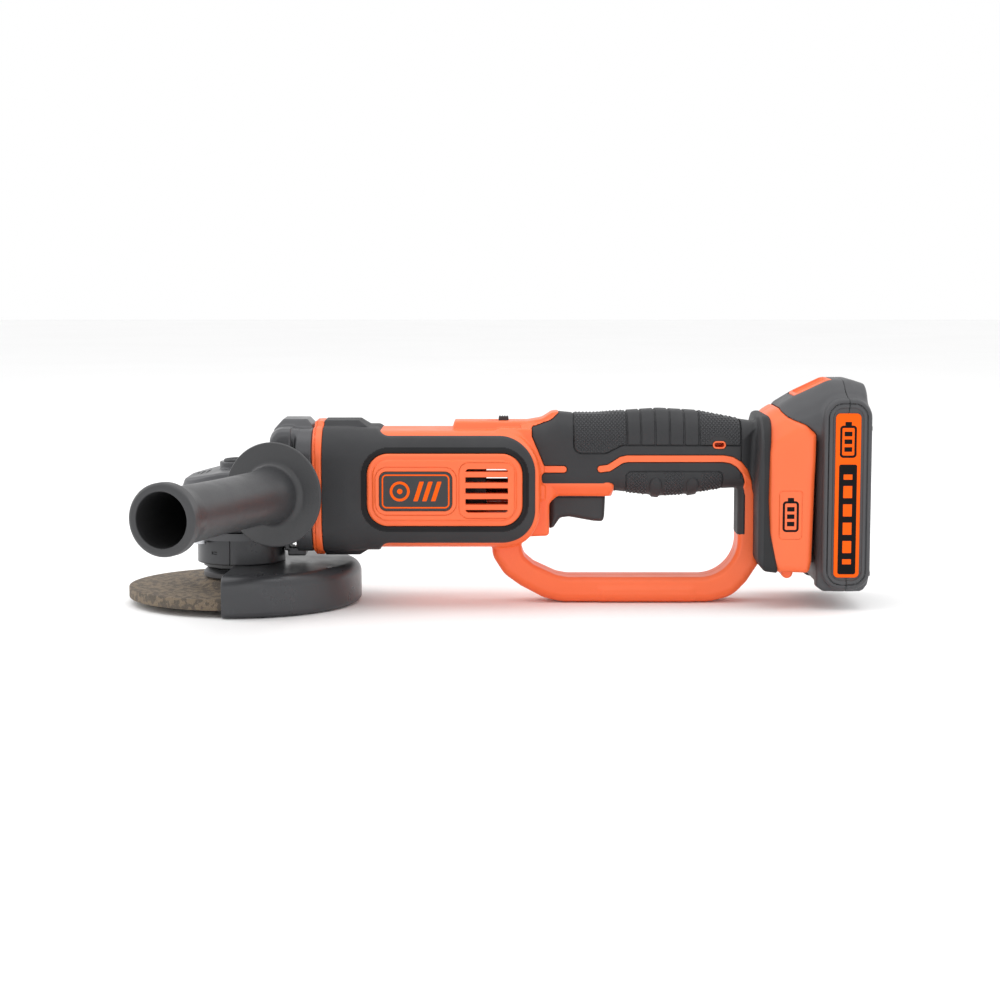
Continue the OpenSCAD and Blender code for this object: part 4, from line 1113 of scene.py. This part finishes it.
def pack(p):
    x, y, z = p.T
    out = np.abs(y)
    form = meet(pack_side(x, z), out - 34.0, 6.5 - 4 * ease((32 - z) / 12))
    form = meet(form, CROWN_SCALE * crowned(p), 1.5)
    form = maximum(form, 0.25 - foot_form(p))
    form = cut(form, block(p, (80, -26, 0), (98.5, 26, 14.6), 1.2), 0.5)
    rim = meet(rim_edge(x, z), out - 38.0, 2.2)
    form = join(form, rim, 2.6)
    form = cut(form, maximum(np.abs(rim_edge(x, z, 2.6)) - 0.25, 37.3 - out), 0.25)
    form = cut(form, meet(rim_edge(x, z, 4.9), 37.2 - out, 0.3), 0.4)
    rails = block(p, (79.6, -25.4, 24), (85.9, 25.4, 94.5), 0.4)
    rails = minimum(rails, block(p, (85.0, -19.4, 24), (92, 19.4, 94.5), 0.4))
    for slot_y in (3.4, 10.0):
        rails = cut(rails, maximum(np.abs(out - slot_y) - 1.4, maximum(z - 53, x - 86)), 0.2)
    form = minimum(form, rails)
    pocket = meet(round_rect(x - KEY_MID, y, KEY_HALF + 0.45, 14.75, 3.5), 108 - z, 0.3)
    form = cut(form, pocket, 0.5)
    for screw_z in (20, 99):
        form = cut(form, hypot(out - 30.5, z - screw_z) - 2.6 + maximum(118.6 - x, 0) * 5, 0.3)
    # ribs across the back
    for k in range(5):
        rib_z = 36 + 14.0 * k
        form = cut(form, meet(np.abs(z - rib_z) - 0.5, maximum(119.2 - x, out - 22), 0.2), 0.35)
    return form


battery_grey = moulded("battery_moulding", scaled(CHARCOAL, 1.75), rough=0.52, vary=0.07, grain=2200,
    grain_depth=0.3, scuff=0.12)
SEAM_X = 106.8


def pack_part(behind):
    """The pack in front of or behind its seam, which is wavy near the top."""
    sign = 1 if behind else -1

    def form(p):
        x, y, z = p.T
        return meet(pack(p), 0.03 - sign * (x - SEAM_X - 0.5 * np.sin(z * 0.35) * (z > 100)), 0.3)

    return form


grow("battery_shell_front", pack_part(False), (66, -40, 8), (108.5, 40, 128), 0.65, battery_grey,
    "battery", ["battery_case_front"])
grow("battery_shell_back", pack_part(True), (105, -40, 8), (123, 40, 128), 0.7, battery_grey, "battery",
    ["battery_case_back"])


def release_button(p):
    x, y, z = p.T
    depth = 0.9 * crowned(p)
    form = meet(round_rect(x - KEY_MID, y, KEY_HALF, 14.3, 3.2), maximum(depth - 0.15, 111.2 - z), 0.6)
    dish = meet(round_rect(x - KEY_MID, y, KEY_HALF - 1.6, 12.6, 2.6), -1.5 - depth, 1.4)
    return cut(form, dish, 0.5)


grow("battery_release_key", release_button, (78, -16, 110), (100, 16, 128), 0.45, orange,
    "battery_release", ["release_button"])


def cell_sign(u, v):
    """A plain battery sign: an outline, its cap and three bars."""
    case = np.abs(round_rect(u, v, 2.9, 6.0, 1.0)) - 0.5
    cap = round_rect(u, v - 7.2, 1.3, 0.75, 0.2)
    bars = minimum.reduce([round_rect(u, v - 3.1 * k, 1.6, 0.95, 0.1) for k in (-1, 0, 1)])
    return minimum(minimum(case, cap), bars)


def block_edge(x, z):
    return round_rect(x - PACK_MID - 0.1, z - BLOCK_MID, 4.9, 30.0, 1.2)


def print_black(x, z):
    return minimum(block_edge(x, z), cell_sign((x - PACK_MID) / 1.35, (z - 92.0) / 1.35))


def print_orange(x, z):
    v = z - BLOCK_MID
    ticks = np.abs((v + 60) % 10 - 5) - 3.4
    return maximum(ticks, round_rect(x - PACK_MID - 0.1, v, 2.5, 24.6, 0.2))


def layer(edge, top):
    """A thin layer of print on the label, out to top."""

    def form(p):
        x, y, z = p.T
        return meet(edge(x, z), span(np.abs(y), 36.6, top), 0.08)

    return form


def foot_sign(p):
    x, y, z = p.T
    sign = cell_sign((x - FOOT_SIGN_AT[0]) / 1.3, (z - FOOT_SIGN_AT[1]) / 1.3)
    return meet(sign, span(np.abs(y) - foot_half_width(z), -0.9, 0.08), 0.05)


for side in SIDES:
    for name, edge, top, h, ink, slot in (
        ("battery_label", label_edge, 37.7, 0.35, label_orange, "orange_plastic"),
        ("battery_label_dark", print_black, 37.78, 0.3, label_black, "black_plastic"),
        ("battery_label_bars", print_orange, 37.86, 0.3, label_orange, "orange_plastic"),
    ):
        # the two labels are one node in the CAD, and the left one replaces it
        replaced = ["battery_labels"] if (name, side) == ("battery_label", "left") else []
        grow_half(name, side, layer(edge, top), (98, 115), (36, 39), (16, 109), h, ink, slot, replaced,
            body="battery")
    grow_half("foot_sign", side, foot_sign, (70, 83), (33, 38.5), (40, 63), 0.25, label_black,
        "charcoal_plastic")


# ---- floor, light and camera

floor_mesh = bpy.data.meshes.new("floor")
REACH = 6.0
corners = [(-REACH, -REACH, 0), (REACH, -REACH, 0), (REACH, REACH, 0), (-REACH, REACH, 0)]
floor_mesh.from_pydata(corners, [], [(0, 1, 2, 3)])
floor = bpy.data.objects.new("floor", floor_mesh)
bpy.context.scene.collection.objects.link(floor)
floor_paper = moulded("floor_paper", (0.96, 0.96, 0.96), rough=0.75, vary=0.01, grain=400,
    grain_depth=0.05, clouds=3)
floor_mesh.materials.append(floor_paper)
floor.location.z = -0.0004

LIT_POINT = (-0.08, 0, 0.06)


def soft_light(name, place_at, size, power):
    light = bpy.data.lights.new(name, "AREA")
    light.shape = "RECTANGLE"
    light.size, light.size_y = size
    light.energy = power
    lamp = bpy.data.objects.new(name, light)
    lamp.location = place_at
    way = mathutils.Vector(LIT_POINT) - mathutils.Vector(place_at)
    lamp.rotation_euler = way.to_track_quat("-Z", "Y").to_euler()
    bpy.context.scene.collection.objects.link(lamp)


soft_light("overhead", (-0.1, -0.15, 1.6), (1.8, 1.2), 8)
soft_light("front_fill", (-0.3, -1.9, 0.7), (2.2, 1.2), 4)
soft_light("rim_left", (-1.4, 0.3, 0.9), (0.7, 1.2), 6)
soft_light("rim_right", (1.3, 0.5, 0.9), (0.7, 1.2), 6)

world = bpy.data.worlds.new("studio")
world.use_nodes = True
backdrop = world.node_tree.nodes["Background"].inputs
backdrop["Color"].default_value = (1, 1, 1, 1)
backdrop["Strength"].default_value = 1.0
bpy.context.scene.world = world
bpy.context.scene.view_settings.view_transform = "Standard"

TILT = math.radians(6.3)
DISTANCE = 1.2
camera_data = bpy.data.cameras.new("camera")
camera_data.lens = 77.3
camera_data.sensor_width = 36
camera_data.clip_end = 30
camera = bpy.data.objects.new("camera", camera_data)
camera.location = (-0.0813, -DISTANCE * math.cos(TILT), 0.0562 + DISTANCE * math.sin(TILT))
camera.rotation_euler = (math.pi / 2 - TILT, 0, 0)
bpy.context.scene.collection.objects.link(camera)
bpy.context.scene.camera = camera
